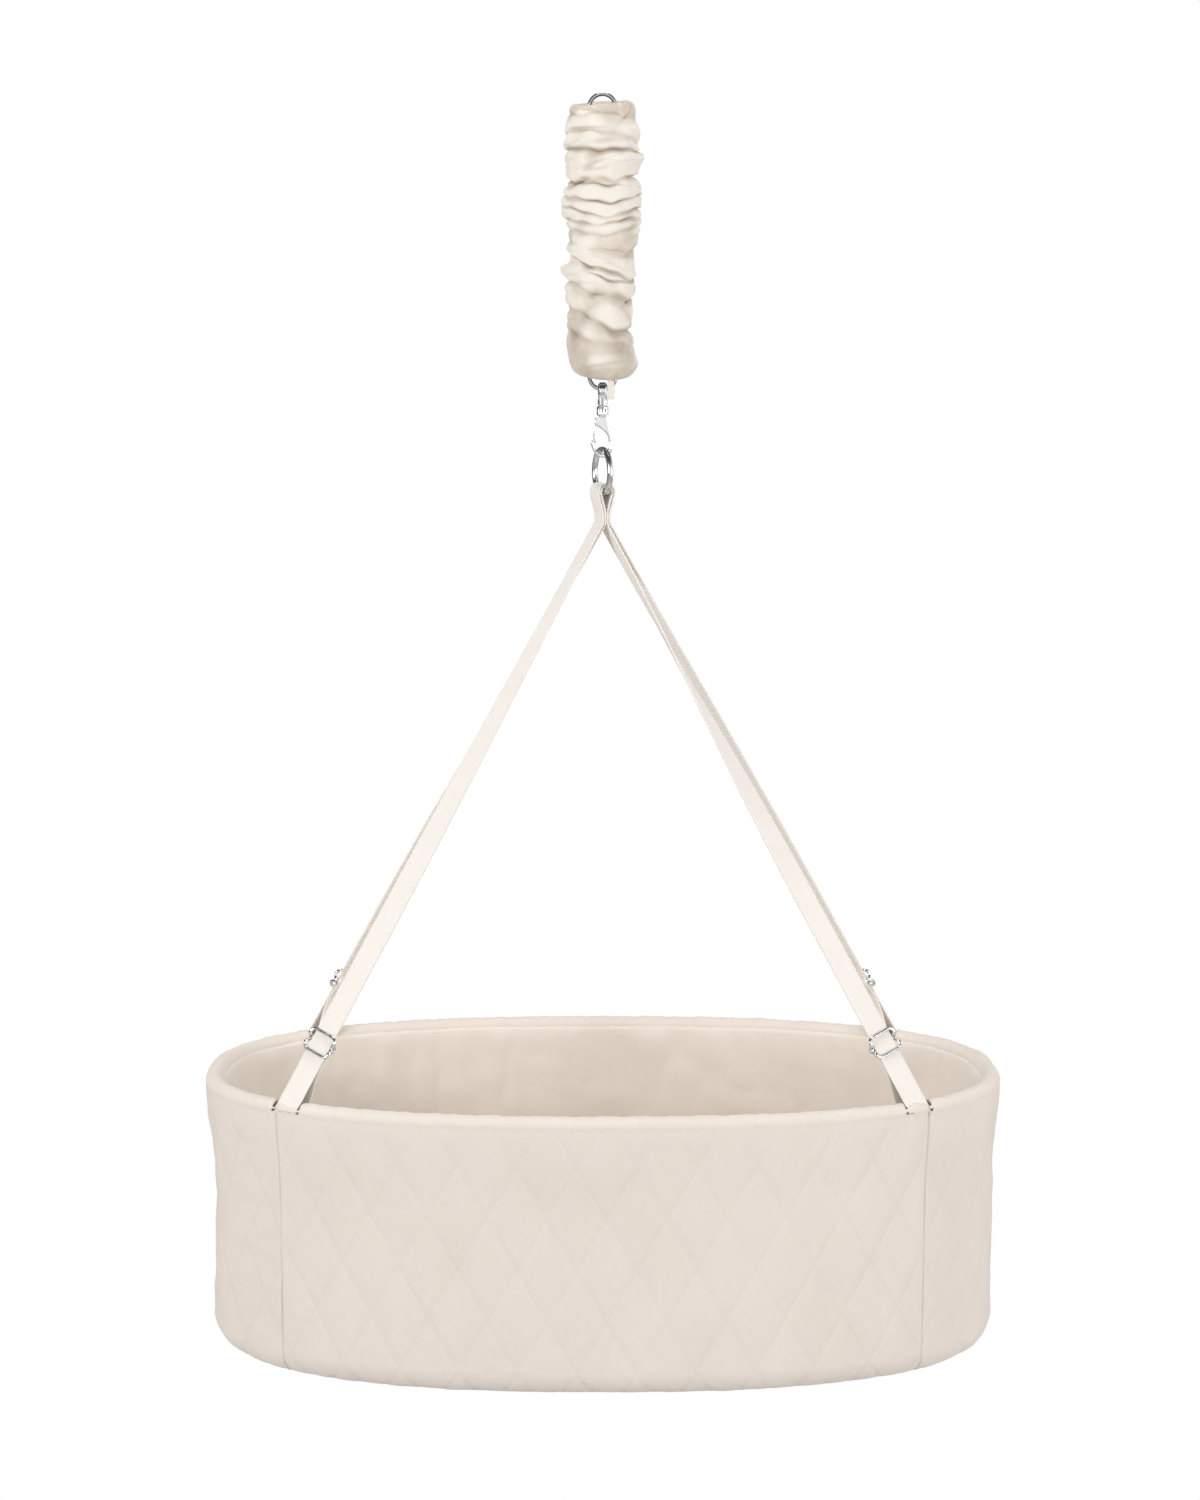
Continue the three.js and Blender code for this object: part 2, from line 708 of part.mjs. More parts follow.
function crownGeometry(layer) {
  const wide = crown_half_gap + half_webbing + layer * layer_step;
  const tall = ring_wire_r + crown_play + half_webbing + layer * layer_step;
  const narrow = gap / 2 + half_webbing + layer * layer_step;
  const step = (side, z, cup) => ({
    at: crown_side.clone().multiplyScalar(side).setZ(z),
    across: crown_across,
    cup,
  });
  const side = Array.from({ length: crown_side_steps + 1 }, (_, i) => {
    const down = i / crown_side_steps;
    const z = crown_z - crown_taper * down;
    const ease = layer * crown_ease * 4 * down * (1 - down);
    return step(mix(wide, narrow, smooth(down)) + ease, z, crown_cup * (1 - smooth(down)));
  });
  const arch = Array.from({ length: crown_arch_steps - 1 }, (_, i) => {
    const turn = (Math.PI * (i + 1)) / crown_arch_steps;
    return step(-wide * Math.cos(turn), crown_z + tall * Math.sin(turn), crown_cup);
  });
  const end = step(narrow, crown_end_z + layer * leg_stagger, 0);
  const right = [...side, end];
  const left = right.map(({ at, across, cup }) => ({
    at: at.clone().setX(-at.x).setY(-at.y),
    across,
    cup,
  }));
  return ribbon([...left.reverse(), ...arch, ...right], 5);
}

// Where the straps and the wall seams lie along the basket.
const strap_x = basket_length / 2 - strap_from_end;
const seam_x = basket_length / 2 - seam_from_end;

// The rim hoop's centre line, and the same oval grown outward all round.
const hoop_a = basket_length / 2 - rim_roll_r;
const hoop_b = basket_width / 2 - rim_roll_r;

function ovalPoint(turn) {
  const c = Math.cos(turn);
  const s = Math.sin(turn);
  const x = hoop_a * Math.sign(c) * Math.abs(c) ** (2 / plan_power);
  const y = hoop_b * Math.sign(s) * Math.abs(s) ** (2 / plan_power);
  return vec(x, y, 0);
}

// The turn at which the oval passes a given distance along its length, in its first quarter.
function ovalTurn(x) {
  return Math.acos((x / hoop_a) ** (plan_power / 2));
}

// The oval's outward direction at a point of its centre line.
function ovalOut(p) {
  const grade = (v, half) => (Math.sign(v) * (Math.abs(v) / half) ** (plan_power - 1)) / half;
  return vec(grade(p.x, hoop_a), grade(p.y, hoop_b), 0).normalize();
}

const strap_turn = ovalTurn(strap_x);
const strap_place = ovalPoint(strap_turn);

// One leg: sx and sy say at which corner of the basket it ends.
function legFrame(sx, sy, layer) {
  const foot = vec(sx * strap_place.x, sy * strap_place.y, hoop_z);
  const out = ovalOut(foot);
  foot.addScaledVector(out, -wrap_inset);
  const tangent = vec(-out.y, out.x, 0);
  const start = crown_side.clone().multiplyScalar(sx * (gap / 2 + half_webbing + layer * layer_step));
  start.z = crown_end_z + layer * leg_stagger - gap;
  const bend = start.clone().setZ(start.z - leg_bend_run);
  const wrap_r = hoop_d / 2 + wrap_clear + half_webbing;
  let face = out;
  let rise = vec(0, 0, 1);
  for (let pass = 0; pass < 4; pass++) {
    const low = foot.clone().addScaledVector(face, wrap_r);
    rise = bend.clone().sub(low).normalize();
    face = tangent.clone().cross(rise).normalize();
    if (face.dot(out) < 0) face.negate();
  }
  const square = rise.clone().addScaledVector(tangent, -rise.dot(tangent)).length();
  const square_rise = face.clone().cross(tangent);
  if (square_rise.z < 0) square_rise.negate();
  const length = bend.distanceTo(foot.clone().addScaledVector(face, wrap_r));
  return { foot, tangent, start, wrap_r, face, rise, square, square_rise, length };
}

// The strap's return, from the hoop back to its leg: how far up, and how far closed, at two places.
const rise_shares = [0.35, 0.7];
const close_shares = [0.14, 0.7];

function legGeometry(sx, sy, layer) {
  const leg = legFrame(sx, sy, layer);
  const place = (up, out) =>
    leg.foot.clone().addScaledVector(leg.rise, up).addScaledVector(leg.face, out);
  const goal = leg.tangent.clone();
  if (goal.dot(crown_across) < 0) goal.negate();
  const turn_goal = Math.atan2(goal.y, goal.x);
  const turn_start = Math.atan2(crown_across.y, crown_across.x);
  const twist_run = leg.length - strap_straight;
  const down = Array.from({ length: leg_steps }, (_, i) => {
    const run = (twist_run * i) / (leg_steps - 1);
    const turn = mix(turn_start, turn_goal, smooth(run / twist_run));
    const at = place(leg.length - run, leg.wrap_r);
    return { at, across: vec(Math.cos(turn), Math.sin(turn), 0) };
  });
  const wrap = Array.from({ length: wrap_steps + 1 }, (_, i) => {
    const turn = (Math.PI * i) / wrap_steps;
    const at = place(0, leg.wrap_r * Math.cos(turn));
    at.addScaledVector(leg.square_rise, -leg.wrap_r * Math.sin(turn));
    return { at, across: goal };
  });
  const close = leg.wrap_r - layer_step;
  const end_across = goal.clone().addScaledVector(leg.rise, -goal.dot(leg.rise)).normalize();
  const top = slider_to_rim - slider_wire_d / 2 - gap;
  const back = [
    { at: place(return_close * rise_shares[0], mix(-leg.wrap_r, close, close_shares[0])), across: goal },
    { at: place(return_close * rise_shares[1], mix(-leg.wrap_r, close, close_shares[1])), across: goal },
    { at: place(return_close, close), across: goal },
    { at: place(top, close), across: end_across },
  ];
  return ribbon([{ at: leg.start, across: crown_across }, ...down, ...wrap, ...back]);
}

const legs = [
  { name: "front_left", sx: -1, sy: -1, layer: 1 },
  { name: "front_right", sx: 1, sy: -1, layer: 0 },
  { name: "back_left", sx: -1, sy: 1, layer: 0 },
  { name: "back_right", sx: 1, sy: 1, layer: 1 },
];
const layer_names = ["inner", "outer"];
layer_names.forEach((name, layer) => {
  add("strap_" + name + "_crown", crownGeometry(layer), looks.webbing);
});
for (const { name, sx, sy, layer } of legs) {
  add("strap_" + layer_names[layer] + "_" + name, legGeometry(sx, sy, layer), looks.webbing);
}

// Sliders: a bowed oval of wire with a bar across its middle. The strap runs behind the
// oval's two ends and in front of the middle bar.

function sliderGeometry(sx, sy, layer) {
  const leg = legFrame(sx, sy, layer);
  const across = leg.face.clone().cross(leg.rise).normalize();
  const centre = leg.foot
    .clone()
    .addScaledVector(leg.rise, slider_to_rim)
    .addScaledVector(leg.face, leg.wrap_r);
  const wire = slider_wire_d / 2;
  const half_w = webbing_width / 2 + slider_side_gap + wire;
  const half_l = slider_length / 2 - wire;
  const step_out = half_webbing + gap + wire;
  const place = (w, u, n) =>
    centre
      .clone()
      .addScaledVector(across, w)
      .addScaledVector(leg.rise, u)
      .addScaledVector(leg.face, n);
  const flat = half_l - slider_corner_r;
  const bowed = (w, u) => place(w, u, step_out * (2 * smooth(Math.abs(u) / flat) - 1));
  const corner = (cw, cu, from) =>
    Array.from({ length: 4 }, (_, i) => {
      const turn = from + (Math.PI / 2) * (i / 3);
      return bowed(
        cw * (half_w - slider_corner_r) + slider_corner_r * Math.cos(turn),
        cu * (half_l - slider_corner_r) + slider_corner_r * Math.sin(turn),
      );
    });
  const half_side = flat / 2;
  const path = [
    ...corner(1, 1, 0),
    ...corner(-1, 1, Math.PI / 2),
    bowed(-half_w, half_side),
    bowed(-half_w, 0),
    bowed(-half_w, -half_side),
    ...corner(-1, -1, Math.PI),
    ...corner(1, -1, (3 * Math.PI) / 2),
    bowed(half_w, -half_side),
    bowed(half_w, 0),
    bowed(half_w, half_side),
  ];
  const middle = bar([place(-half_w, 0, -step_out), place(half_w, 0, -step_out)], wire, slider_sides);
  return join(bar(path, wire, slider_sides, { looped: true }), [middle]);
}

for (const { name, sx, sy, layer } of legs) {
  add("slider_" + name, sliderGeometry(sx, sy, layer), looks.chrome);
}

// Basket. Its walls follow the hoop's oval; a place on a wall is a distance outward from the
// hoop's centre line and a height.

const base_z = hoop_z + rim_roll_r - basket_height;
const seam_z = base_z + bottom_edge_r;
const wall_h = hoop_z - seam_z;

function faceOut(z) {
  const down_share = (hoop_z - z) / (wall_h * waist_share);
  return rim_roll_r - waist_depth * smooth(down_share);
}

// The four walls, each between two turns of the oval.
const seam_turn = ovalTurn(seam_x);
const walls = [
  { name: "right_end", from: -seam_turn, to: seam_turn, steps: end_wall_steps },
  { name: "back", from: seam_turn, to: Math.PI - seam_turn, steps: long_wall_steps },
  { name: "left_end", from: Math.PI - seam_turn, to: Math.PI + seam_turn, steps: end_wall_steps },
  { name: "front", from: seam_turn - Math.PI, to: -seam_turn, steps: long_wall_steps },
];

function wallTurns({ from, to, steps }) {
  return Array.from({ length: steps + 1 }, (_, i) => mix(from, to, i / steps));
}

const plan_turns = walls.flatMap((wall) => wallTurns(wall).slice(1));

function ovalRing(out, z, spread = 1) {
  return plan_turns.map((turn) => {
    const p = ovalPoint(turn);
    return p.clone().addScaledVector(ovalOut(p), out).multiplyScalar(spread).setZ(z);
  });
}

// A body whose section, a ring of places, is carried along one wall of the oval.
const seam_half_turn = Math.abs(ovalTurn(seam_x - seam_gap / 2) - seam_turn);

function wallGeometry(section, wall) {
  const turns = wallTurns(wall);
  turns[0] += seam_half_turn;
  turns[wall.steps] -= seam_half_turn;
  const rings = turns.map((turn) => {
    const p = ovalPoint(turn);
    const out = ovalOut(p);
    return section.map(([o, z]) => p.clone().addScaledVector(out, o).setZ(z));
  });
  return skinRings(rings);
}

function arc(centre, radius, from_deg, to_deg, steps) {
  return Array.from({ length: steps + 1 }, (_, i) => {
    const turn = rad(mix(from_deg, to_deg, i / steps));
    return [centre[0] + radius * Math.cos(turn), centre[1] + radius * Math.sin(turn)];
  });
}

function slitTools({ sx, sy, layer }) {
  const leg = legFrame(sx, sy, layer);
  const reach = leg.wrap_r + half_webbing + slit_ease;
  const half = webbing_width / 2 / leg.square + slit_spare / 2;
  const round = cylinderAt(leg.foot, leg.tangent, reach, 2 * half, 24);
  const corners = [[1, reach], [-1, reach], [-1, -reach - skin_thick], [1, -reach - skin_thick]];
  const rings = [0, 2 * rim_roll_r].map((up) =>
    corners.map(([t, n]) =>
      leg.foot
        .clone()
        .addScaledVector(leg.rise, up)
        .addScaledVector(leg.face, n)
        .addScaledVector(leg.tangent, t * half),
    ),
  );
  return [round, skinRings(rings)];
}

const slits = legs.flatMap(slitTools);
const hoop_points = ovalRing(0, hoop_z);
add("rim_hoop", bar(hoop_points, hoop_d / 2, wire_sides, { looped: true }), looks.wood);

const wall_step_shares = [0.08, 0.16, 0.26, 0.36];
const wall_heights = wall_step_shares.map((share) => hoop_z - wall_h * share);

// The walls' lower edge curves in under the basket, about this centre of its section.
const foot_centre = [faceOut(seam_z) - bottom_edge_r, seam_z];

function skinSection() {
  const centre = [0, hoop_z];
  const lip = 90 + rim_lip_deg;
  return [
    ...arc(foot_centre, bottom_edge_r, -foot_deg, 0, foot_steps),
    ...wall_heights.map((z) => [faceOut(z), z]).reverse(),
    ...arc(centre, rim_roll_r, 0, lip, roll_steps),
    ...arc(centre, rim_roll_r - skin_thick, lip, 0, roll_steps),
    ...wall_heights.map((z) => [faceOut(z) - skin_thick, z]),
    ...arc(foot_centre, bottom_edge_r - skin_thick, 0, -foot_deg, foot_steps),
  ];
}

const pad_in = -rim_roll_r;
const heel_share = 0.72;

function padSection() {
  const top_z = hoop_z - rim_roll_r + skin_thick;
  const back = skin_thick + gap;
  const face = [top_z, ...wall_heights.slice(1), seam_z + 2 * gap];
  const low_z = base_z + 2 * skin_thick + board_thick;
  return [
    ...face.map((z) => [faceOut(z) - back, z]),
    [faceOut(seam_z) - pad_heel, mix(seam_z, low_z, heel_share)],
    [pad_in, low_z],
    [pad_in, top_z],
  ];
}

// The four outsides and their pads.
for (const wall of walls) {
  add(wall.name + "_panel", cut(wallGeometry(skinSection(), wall), slits), looks.quilted);
  add(wall.name + "_pad", cut(wallGeometry(padSection(), wall), slits), looks.wadding);
}

// A bucket: its outside from the middle of its bottom up to its edge, then back inside.
function bucketGeometry(out, thick, low_z, top_z, edge_r) {
  const levels = (o, r, z) =>
    arc([o - r, z + r], r, -90, 0, edge_steps).map(([ring_out, ring_z]) => ovalRing(ring_out, ring_z));
  const outside = levels(out, edge_r, low_z);
  const inside = levels(out - thick, edge_r - thick, low_z + thick);
  return skinRings([...outside, ovalRing(out, top_z), ovalRing(out - thick, top_z), ...inside.reverse()]);
}

const bottom_out = faceOut(seam_z);
const lining_out = pad_in - gap;
const board_z = base_z + skin_thick + gap;
const lining_z = board_z + board_thick + gap;
const mattress_z = lining_z + lining_thick + gap;

// The bottom panel: flat, with its edge turned up to meet the walls' lower edge.
function bottomGeometry() {
  const layer = (r) => {
    const edge_deg = foot_deg + THREE.MathUtils.radToDeg(gap / r);
    return arc(foot_centre, r, -90, -edge_deg, bottom_steps).map(([o, z]) => ovalRing(o, z));
  };
  const over = layer(bottom_edge_r - skin_thick);
  return skinRings([...layer(bottom_edge_r), ...over.reverse()]);
}

add("bottom_panel", bottomGeometry(), looks.quilted);
add(
  "lining",
  bucketGeometry(lining_out, lining_thick, lining_z, hoop_z, lining_edge_r),
  looks.lining,
);

const board_out = bottom_out - bottom_edge_r + gap;
const board_rings = [board_z, board_z + board_thick].map((z) => ovalRing(board_out, z));
add("base_board", skinRings(board_rings), looks.wood);

function mattressGeometry() {
  const out = lining_out - lining_thick - mattress_clear;
  const top_z = mattress_z + mattress_thick;
  const r = mattress_edge_r;
  const low = arc([out - r, mattress_z + r], r, -90, 0, edge_steps);
  const high = arc([out - r, top_z - r], r, 0, 90, edge_steps);
  const sides = [...low, ...high].map(([o, z]) => ovalRing(o, z));
  const crown_spread_shares = [0.75, 0.35];
  const crown = crown_spread_shares.map((share) =>
    ovalRing(out - r, top_z + mattress_crown * (1 - share ** 2), share),
  );
  return skinRings([...sides, ...crown]);
}

add("mattress", mattressGeometry(), looks.cover);

export default part;
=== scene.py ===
import math

import bmesh
import bpy
import numpy as np
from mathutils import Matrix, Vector


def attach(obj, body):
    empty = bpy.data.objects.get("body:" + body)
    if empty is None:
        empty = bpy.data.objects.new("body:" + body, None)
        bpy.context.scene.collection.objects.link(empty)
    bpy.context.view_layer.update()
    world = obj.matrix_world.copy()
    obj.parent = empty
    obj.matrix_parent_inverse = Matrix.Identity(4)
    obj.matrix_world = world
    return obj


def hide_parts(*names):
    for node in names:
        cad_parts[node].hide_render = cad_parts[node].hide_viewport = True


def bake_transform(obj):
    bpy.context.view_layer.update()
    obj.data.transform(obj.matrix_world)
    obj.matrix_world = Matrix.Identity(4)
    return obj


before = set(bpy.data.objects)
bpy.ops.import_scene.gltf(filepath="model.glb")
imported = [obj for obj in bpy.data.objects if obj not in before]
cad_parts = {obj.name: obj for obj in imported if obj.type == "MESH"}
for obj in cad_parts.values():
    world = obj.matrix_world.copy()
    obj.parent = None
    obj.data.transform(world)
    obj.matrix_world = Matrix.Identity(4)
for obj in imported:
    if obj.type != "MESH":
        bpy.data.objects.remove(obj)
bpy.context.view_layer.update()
scene = bpy.context.scene
MM = 0.001

# Sizes of the model, in millimetres
HOOP_A, HOOP_B, POWER = 390.4, 190.4, 2.4
HOOP_Z, ROLL_R, BASE_Z, SEAM_Z = -965.5, 9.6, -1235.9, -1207.9
WALL_H = HOOP_Z - SEAM_Z
STRAP_X, SEAM_X = 301.0, 309.5
WEB_W, WEB_T, GAP = 25.0, 1.8, 0.3
WRAP_R, SLIDER_UP, SLIDER_WIRE_R = 7.7, 71.0, 1.6
SLIDER_LENGTH, SLIDER_CORNER_R, SLIDER_SIDE_GAP = 24.0, 5.0, 1.2
CROWN_Z, CROWN_END = -381.1, -406.5
RING_R, RING_WIRE_R, RING_TURN = 22.0, 3.0, math.radians(20)
CROWN_TURN = math.radians(20)
FOOT_R, FOOT_TURN = 28.0, math.radians(72)
BOTTOM_T, BOARD_T, HOOP_WIRE_R = 3.0, 5.0, 6.0
QUILT_T, BOTTOM_COVER_T, LINING_T, SLEEVE_T = 2.6, 2.4, 1.1, 0.7
SPRING_WIRE_R, LOOP_R, COIL_R, COIL_TURNS = 2.0, 13.0, 15.0, 30
COIL_TOP_Z, COIL_LOW_Z = -32.0, -245.0
TOP_LOOP_Z, LOW_LOOP_Z = -11.0, -266.0
SLEEVE_R, SLEEVE_LENGTH, SLEEVE_GATHER = 32.5, 268.0, 1.25
TAB_X, TAB_Y = 8.0, -19.0


# Camera and light

def add_camera():
    data = bpy.data.cameras.new("camera")
    cam = bpy.data.objects.new("camera", data)
    scene.collection.objects.link(cam)
    data.sensor_fit = "VERTICAL"
    data.sensor_height = 36.0
    data.lens = 63.36
    data.shift_x = -0.0017
    data.clip_end = 20.0
    cam.location = (0.0, -2.6, -0.244)
    cam.rotation_euler = (math.radians(90 - 8.55), 0.0, 0.0)
    scene.camera = cam


def add_area(name, place, aim, size, power):
    data = bpy.data.lights.new(name, "AREA")
    data.shape = "RECTANGLE"
    data.size, data.size_y = size
    data.energy = power
    light = bpy.data.objects.new(name, data)
    scene.collection.objects.link(light)
    light.location = place
    light.rotation_euler = (Vector(aim) - Vector(place)).to_track_quat("-Z", "Y").to_euler()


# What metal mirrors from left to right: how far across, and its colour.
MIRROR_STOPS = [
    (0.30, (0.16, 0.16, 0.17)), (0.44, (1, 1, 1)), (0.62, (0.85, 0.85, 0.86)),
    (0.72, (0.12, 0.12, 0.13)), (0.82, (0.9, 0.9, 0.9)),
]


def add_world():
    """White where the camera sees it, a soft light for cloth and a striped room for metal."""
    world = bpy.data.worlds.new("studio")
    scene.world = world
    world.use_nodes = True
    tree = world.node_tree
    tree.nodes.clear()
    out = tree.nodes.new("ShaderNodeOutputWorld")
    seen = tree.nodes.new("ShaderNodeBackground")
    seen.inputs["Color"].default_value = (1, 1, 1, 1)
    lit = tree.nodes.new("ShaderNodeBackground")
    lit.inputs["Color"].default_value = (1.0, 0.99, 0.975, 1)
    lit.inputs["Strength"].default_value = 0.50
    mirror = tree.nodes.new("ShaderNodeBackground")
    coord = tree.nodes.new("ShaderNodeTexCoord")
    split = tree.nodes.new("ShaderNodeSeparateXYZ")
    ramp = tree.nodes.new("ShaderNodeValToRGB")
    stops = ramp.color_ramp.elements
    for i, (position, colour) in enumerate(MIRROR_STOPS):
        stop = stops[i] if i < 2 else stops.new(position)
        stop.position = position
        stop.color = (*colour, 1)
    scale = tree.nodes.new("ShaderNodeMath")
    scale.operation = "MULTIPLY_ADD"
    scale.inputs[1].default_value = 0.5
    scale.inputs[2].default_value = 0.5
    path = tree.nodes.new("ShaderNodeLightPath")
    mix_a = tree.nodes.new("ShaderNodeMixShader")
    mix_b = tree.nodes.new("ShaderNodeMixShader")
    link = tree.links.new
    link(coord.outputs["Generated"], split.inputs[0])
    link(split.outputs["X"], scale.inputs[0])
    link(scale.outputs[0], ramp.inputs[0])
    link(ramp.outputs[0], mirror.inputs["Color"])
    # Metal mirrors a bright room at its own height, and a dark ceiling and floor.
    steep = tree.nodes.new("ShaderNodeMath")
    steep.operation = "ABSOLUTE"
    band = tree.nodes.new("ShaderNodeMapRange")
    band.interpolation_type = "SMOOTHSTEP"
    limits = {"From Min": 0.30, "From Max": 0.72, "To Min": 1.0, "To Max": 0.14}
    for socket, value in limits.items():
        band.inputs[socket].default_value = value
    link(split.outputs["Z"], steep.inputs[0])
    link(steep.outputs[0], band.inputs["Value"])
    link(band.outputs["Result"], mirror.inputs["Strength"])
    link(path.outputs["Is Glossy Ray"], mix_a.inputs[0])
    link(lit.outputs[0], mix_a.inputs[1])
    link(mirror.outputs[0], mix_a.inputs[2])
    link(path.outputs["Is Camera Ray"], mix_b.inputs[0])
    link(mix_a.outputs[0], mix_b.inputs[1])
    link(seen.outputs[0], mix_b.inputs[2])
    link(mix_b.outputs[0], out.inputs[0])


add_camera()
add_world()
add_area("key", (-2.2, -1.9, 0.1), (0, 0, -0.8), (1.1, 1.1), 41.5)
add_area("fill", (2.3, -1.8, -0.3), (0, 0, -0.8), (1.3, 1.3), 36.5)
add_area("top", (0.0, 0.2, 1.9), (0, 0, -1.0), (1.4, 1.0), 19)
scene.view_settings.view_transform = "Standard"


# Materials

QUILT_W, QUILT_H = 57.0, 102.0
QUILT_NEAR = 1 / math.hypot(1 / QUILT_W, 1 / QUILT_H)
QUILT_TOP, QUILT_LOW, STITCH = 226.0, -31.0, 3.4


def new_material(name):
    mat = bpy.data.materials.new(name)
    mat.use_nodes = True
    tree = mat.node_tree
    shader = tree.nodes["Principled BSDF"]
    return mat, tree, shader


def number(tree, operation, a, b=None, clamp=False):
    node = tree.nodes.new("ShaderNodeMath")
    node.operation = operation
    node.use_clamp = clamp
    for i, value in enumerate((a, b)):
        if value is None:
            continue
        if isinstance(value, (int, float)):
            node.inputs[i].default_value = value
        else:
            tree.links.new(value, node.inputs[i])
    return node.outputs[0]


def noise(tree, scale, detail=3.0, vector=None):
    node = tree.nodes.new("ShaderNodeTexNoise")
    node.inputs["Scale"].default_value = scale
    node.inputs["Detail"].default_value = detail
    if vector is None:
        coord = tree.nodes.new("ShaderNodeTexCoord")
        vector = coord.outputs["Object"]
    tree.links.new(vector, node.inputs["Vector"])
    return node.outputs["Fac"]


def colour_mix(tree, factor, a, b):
    node = tree.nodes.new("ShaderNodeMix")
    node.data_type = "RGBA"
    tree.links.new(factor, node.inputs["Factor"])
    for socket, value in ((node.inputs["A"], a), (node.inputs["B"], b)):
        if isinstance(value, tuple):
            socket.default_value = (*value, 1.0)
        else:
            tree.links.new(value, socket)
    return node.outputs["Result"]


def bump(tree, height, distance, strength, before=None):
    node = tree.nodes.new("ShaderNodeBump")
    node.inputs["Distance"].default_value = distance
    node.inputs["Strength"].default_value = strength
    tree.links.new(height, node.inputs["Height"])
    if before is not None:
        tree.links.new(before, node.inputs["Normal"])
    return node.outputs["Normal"]


def cloth_plane(tree):
    """The cloth's own two directions in millimetres, from the mesh's map."""
    uv = tree.nodes.new("ShaderNodeUVMap")
    uv.uv_map = "cloth"
    split = tree.nodes.new("ShaderNodeSeparateXYZ")
    tree.links.new(uv.outputs[0], split.inputs[0])
    return split.outputs["X"], split.outputs["Y"]


def thread(tree, value, period):
    return number(tree, "SINE", number(tree, "MULTIPLY", value, 2 * math.pi / period))


def fabric(name, light, dark, period=0.9, weave=0.25, rough=0.88, sheen=0.25, mottling=0.35,
           patches=11.0, contrast=0.9):
    """Plain weave of the thread's period in millimetres, mottled between two colours."""
    mat, tree, shader = new_material(name)
    u, v = cloth_plane(tree)
    warp = thread(tree, u, period)
    weft = thread(tree, v, period)
    cross = number(tree, "MULTIPLY", warp, weft)
    fuzz = noise(tree, 900.0, 2.0)
    cloud = noise(tree, patches, 4.0)
    slub = noise(tree, 160.0, 3.0)
    height = number(tree, "ADD", number(tree, "MULTIPLY", cross, 0.5), fuzz)
    broad = number(tree, "MULTIPLY", number(tree, "SUBTRACT", cloud, 0.5), contrast)
    small = number(tree, "MULTIPLY", number(tree, "SUBTRACT", slub, 0.5), 0.35)
    factor = number(tree, "ADD", number(tree, "ADD", broad, small), mottling, True)
    tree.links.new(colour_mix(tree, factor, light, dark), shader.inputs["Base Color"])
    shader.inputs["Roughness"].default_value = rough
    shader.inputs["Specular IOR Level"].default_value = 0.25
    shader.inputs["Sheen Weight"].default_value = sheen
    shader.inputs["Sheen Roughness"].default_value = 0.5
    first = bump(tree, slub, 0.0015, 0.12)
    tree.links.new(bump(tree, height, 0.0003, weave, first), shader.inputs["Normal"])
    return mat


def quilted(name, light, dark):
    """Cotton with rows of short stitches along the quilting's diamonds."""
    mat = fabric(name, light, dark)
    tree = mat.node_tree
    shader = tree.nodes["Principled BSDF"]
    u, v = cloth_plane(tree)
    across, up = number(tree, "DIVIDE", u, QUILT_W), number(tree, "DIVIDE", v, QUILT_H)
    sewn = None
    for way in ("ADD", "SUBTRACT"):
        lane = number(tree, way, across, up)
        other = number(tree, "SUBTRACT" if way == "ADD" else "ADD", across, up)
        off = number(tree, "PINGPONG", lane, 0.5)
        line = number(tree, "LESS_THAN", number(tree, "MULTIPLY", off, QUILT_NEAR), 0.33)
        along = number(tree, "MULTIPLY", other, 2 * QUILT_NEAR)
        dash = number(tree, "GREATER_THAN", thread(tree, along, STITCH), -0.35)
        stitch = number(tree, "MULTIPLY", line, dash)
        sewn = stitch if sewn is None else number(tree, "MAXIMUM", sewn, stitch)
    under_rim = number(tree, "LESS_THAN", v, QUILT_TOP)
    over_foot = number(tree, "GREATER_THAN", v, QUILT_LOW)
    inside = number(tree, "MULTIPLY", under_rim, over_foot)
    sewn = number(tree, "MULTIPLY", sewn, inside)
    base = shader.inputs["Base Color"].links[0].from_socket
    shade = number(tree, "MULTIPLY", sewn, 0.22)
    tree.links.new(colour_mix(tree, shade, base, (0.62, 0.53, 0.46)), shader.inputs["Base Color"])
    before = shader.inputs["Normal"].links[0].from_socket
    tree.links.new(bump(tree, sewn, 0.0005, 0.4, before), shader.inputs["Normal"])
    return mat


def painted_fold_light(mat, shade, glint):
    """The same cloth, darker where the mesh says that a fold closes and paler along the top of each
    fold: painted shade in the creases and a painted highlight on the folds' tops.
    """
    tree = mat.node_tree
    shader = tree.nodes["Principled BSDF"]
    # First the painted highlight, then the painted shade, each mixed into the base colour by its
    # attribute.
    for layer, share, tone in (("painted_crest_highlight", 0.85, glint), ("crease", 0.9, shade)):
        depth = tree.nodes.new("ShaderNodeAttribute")
        depth.attribute_name = layer
        base = shader.inputs["Base Color"].links[0].from_socket
        factor = number(tree, "MULTIPLY", depth.outputs["Fac"], share, True)
        tree.links.new(colour_mix(tree, factor, base, tone), shader.inputs["Base Color"])
    return mat


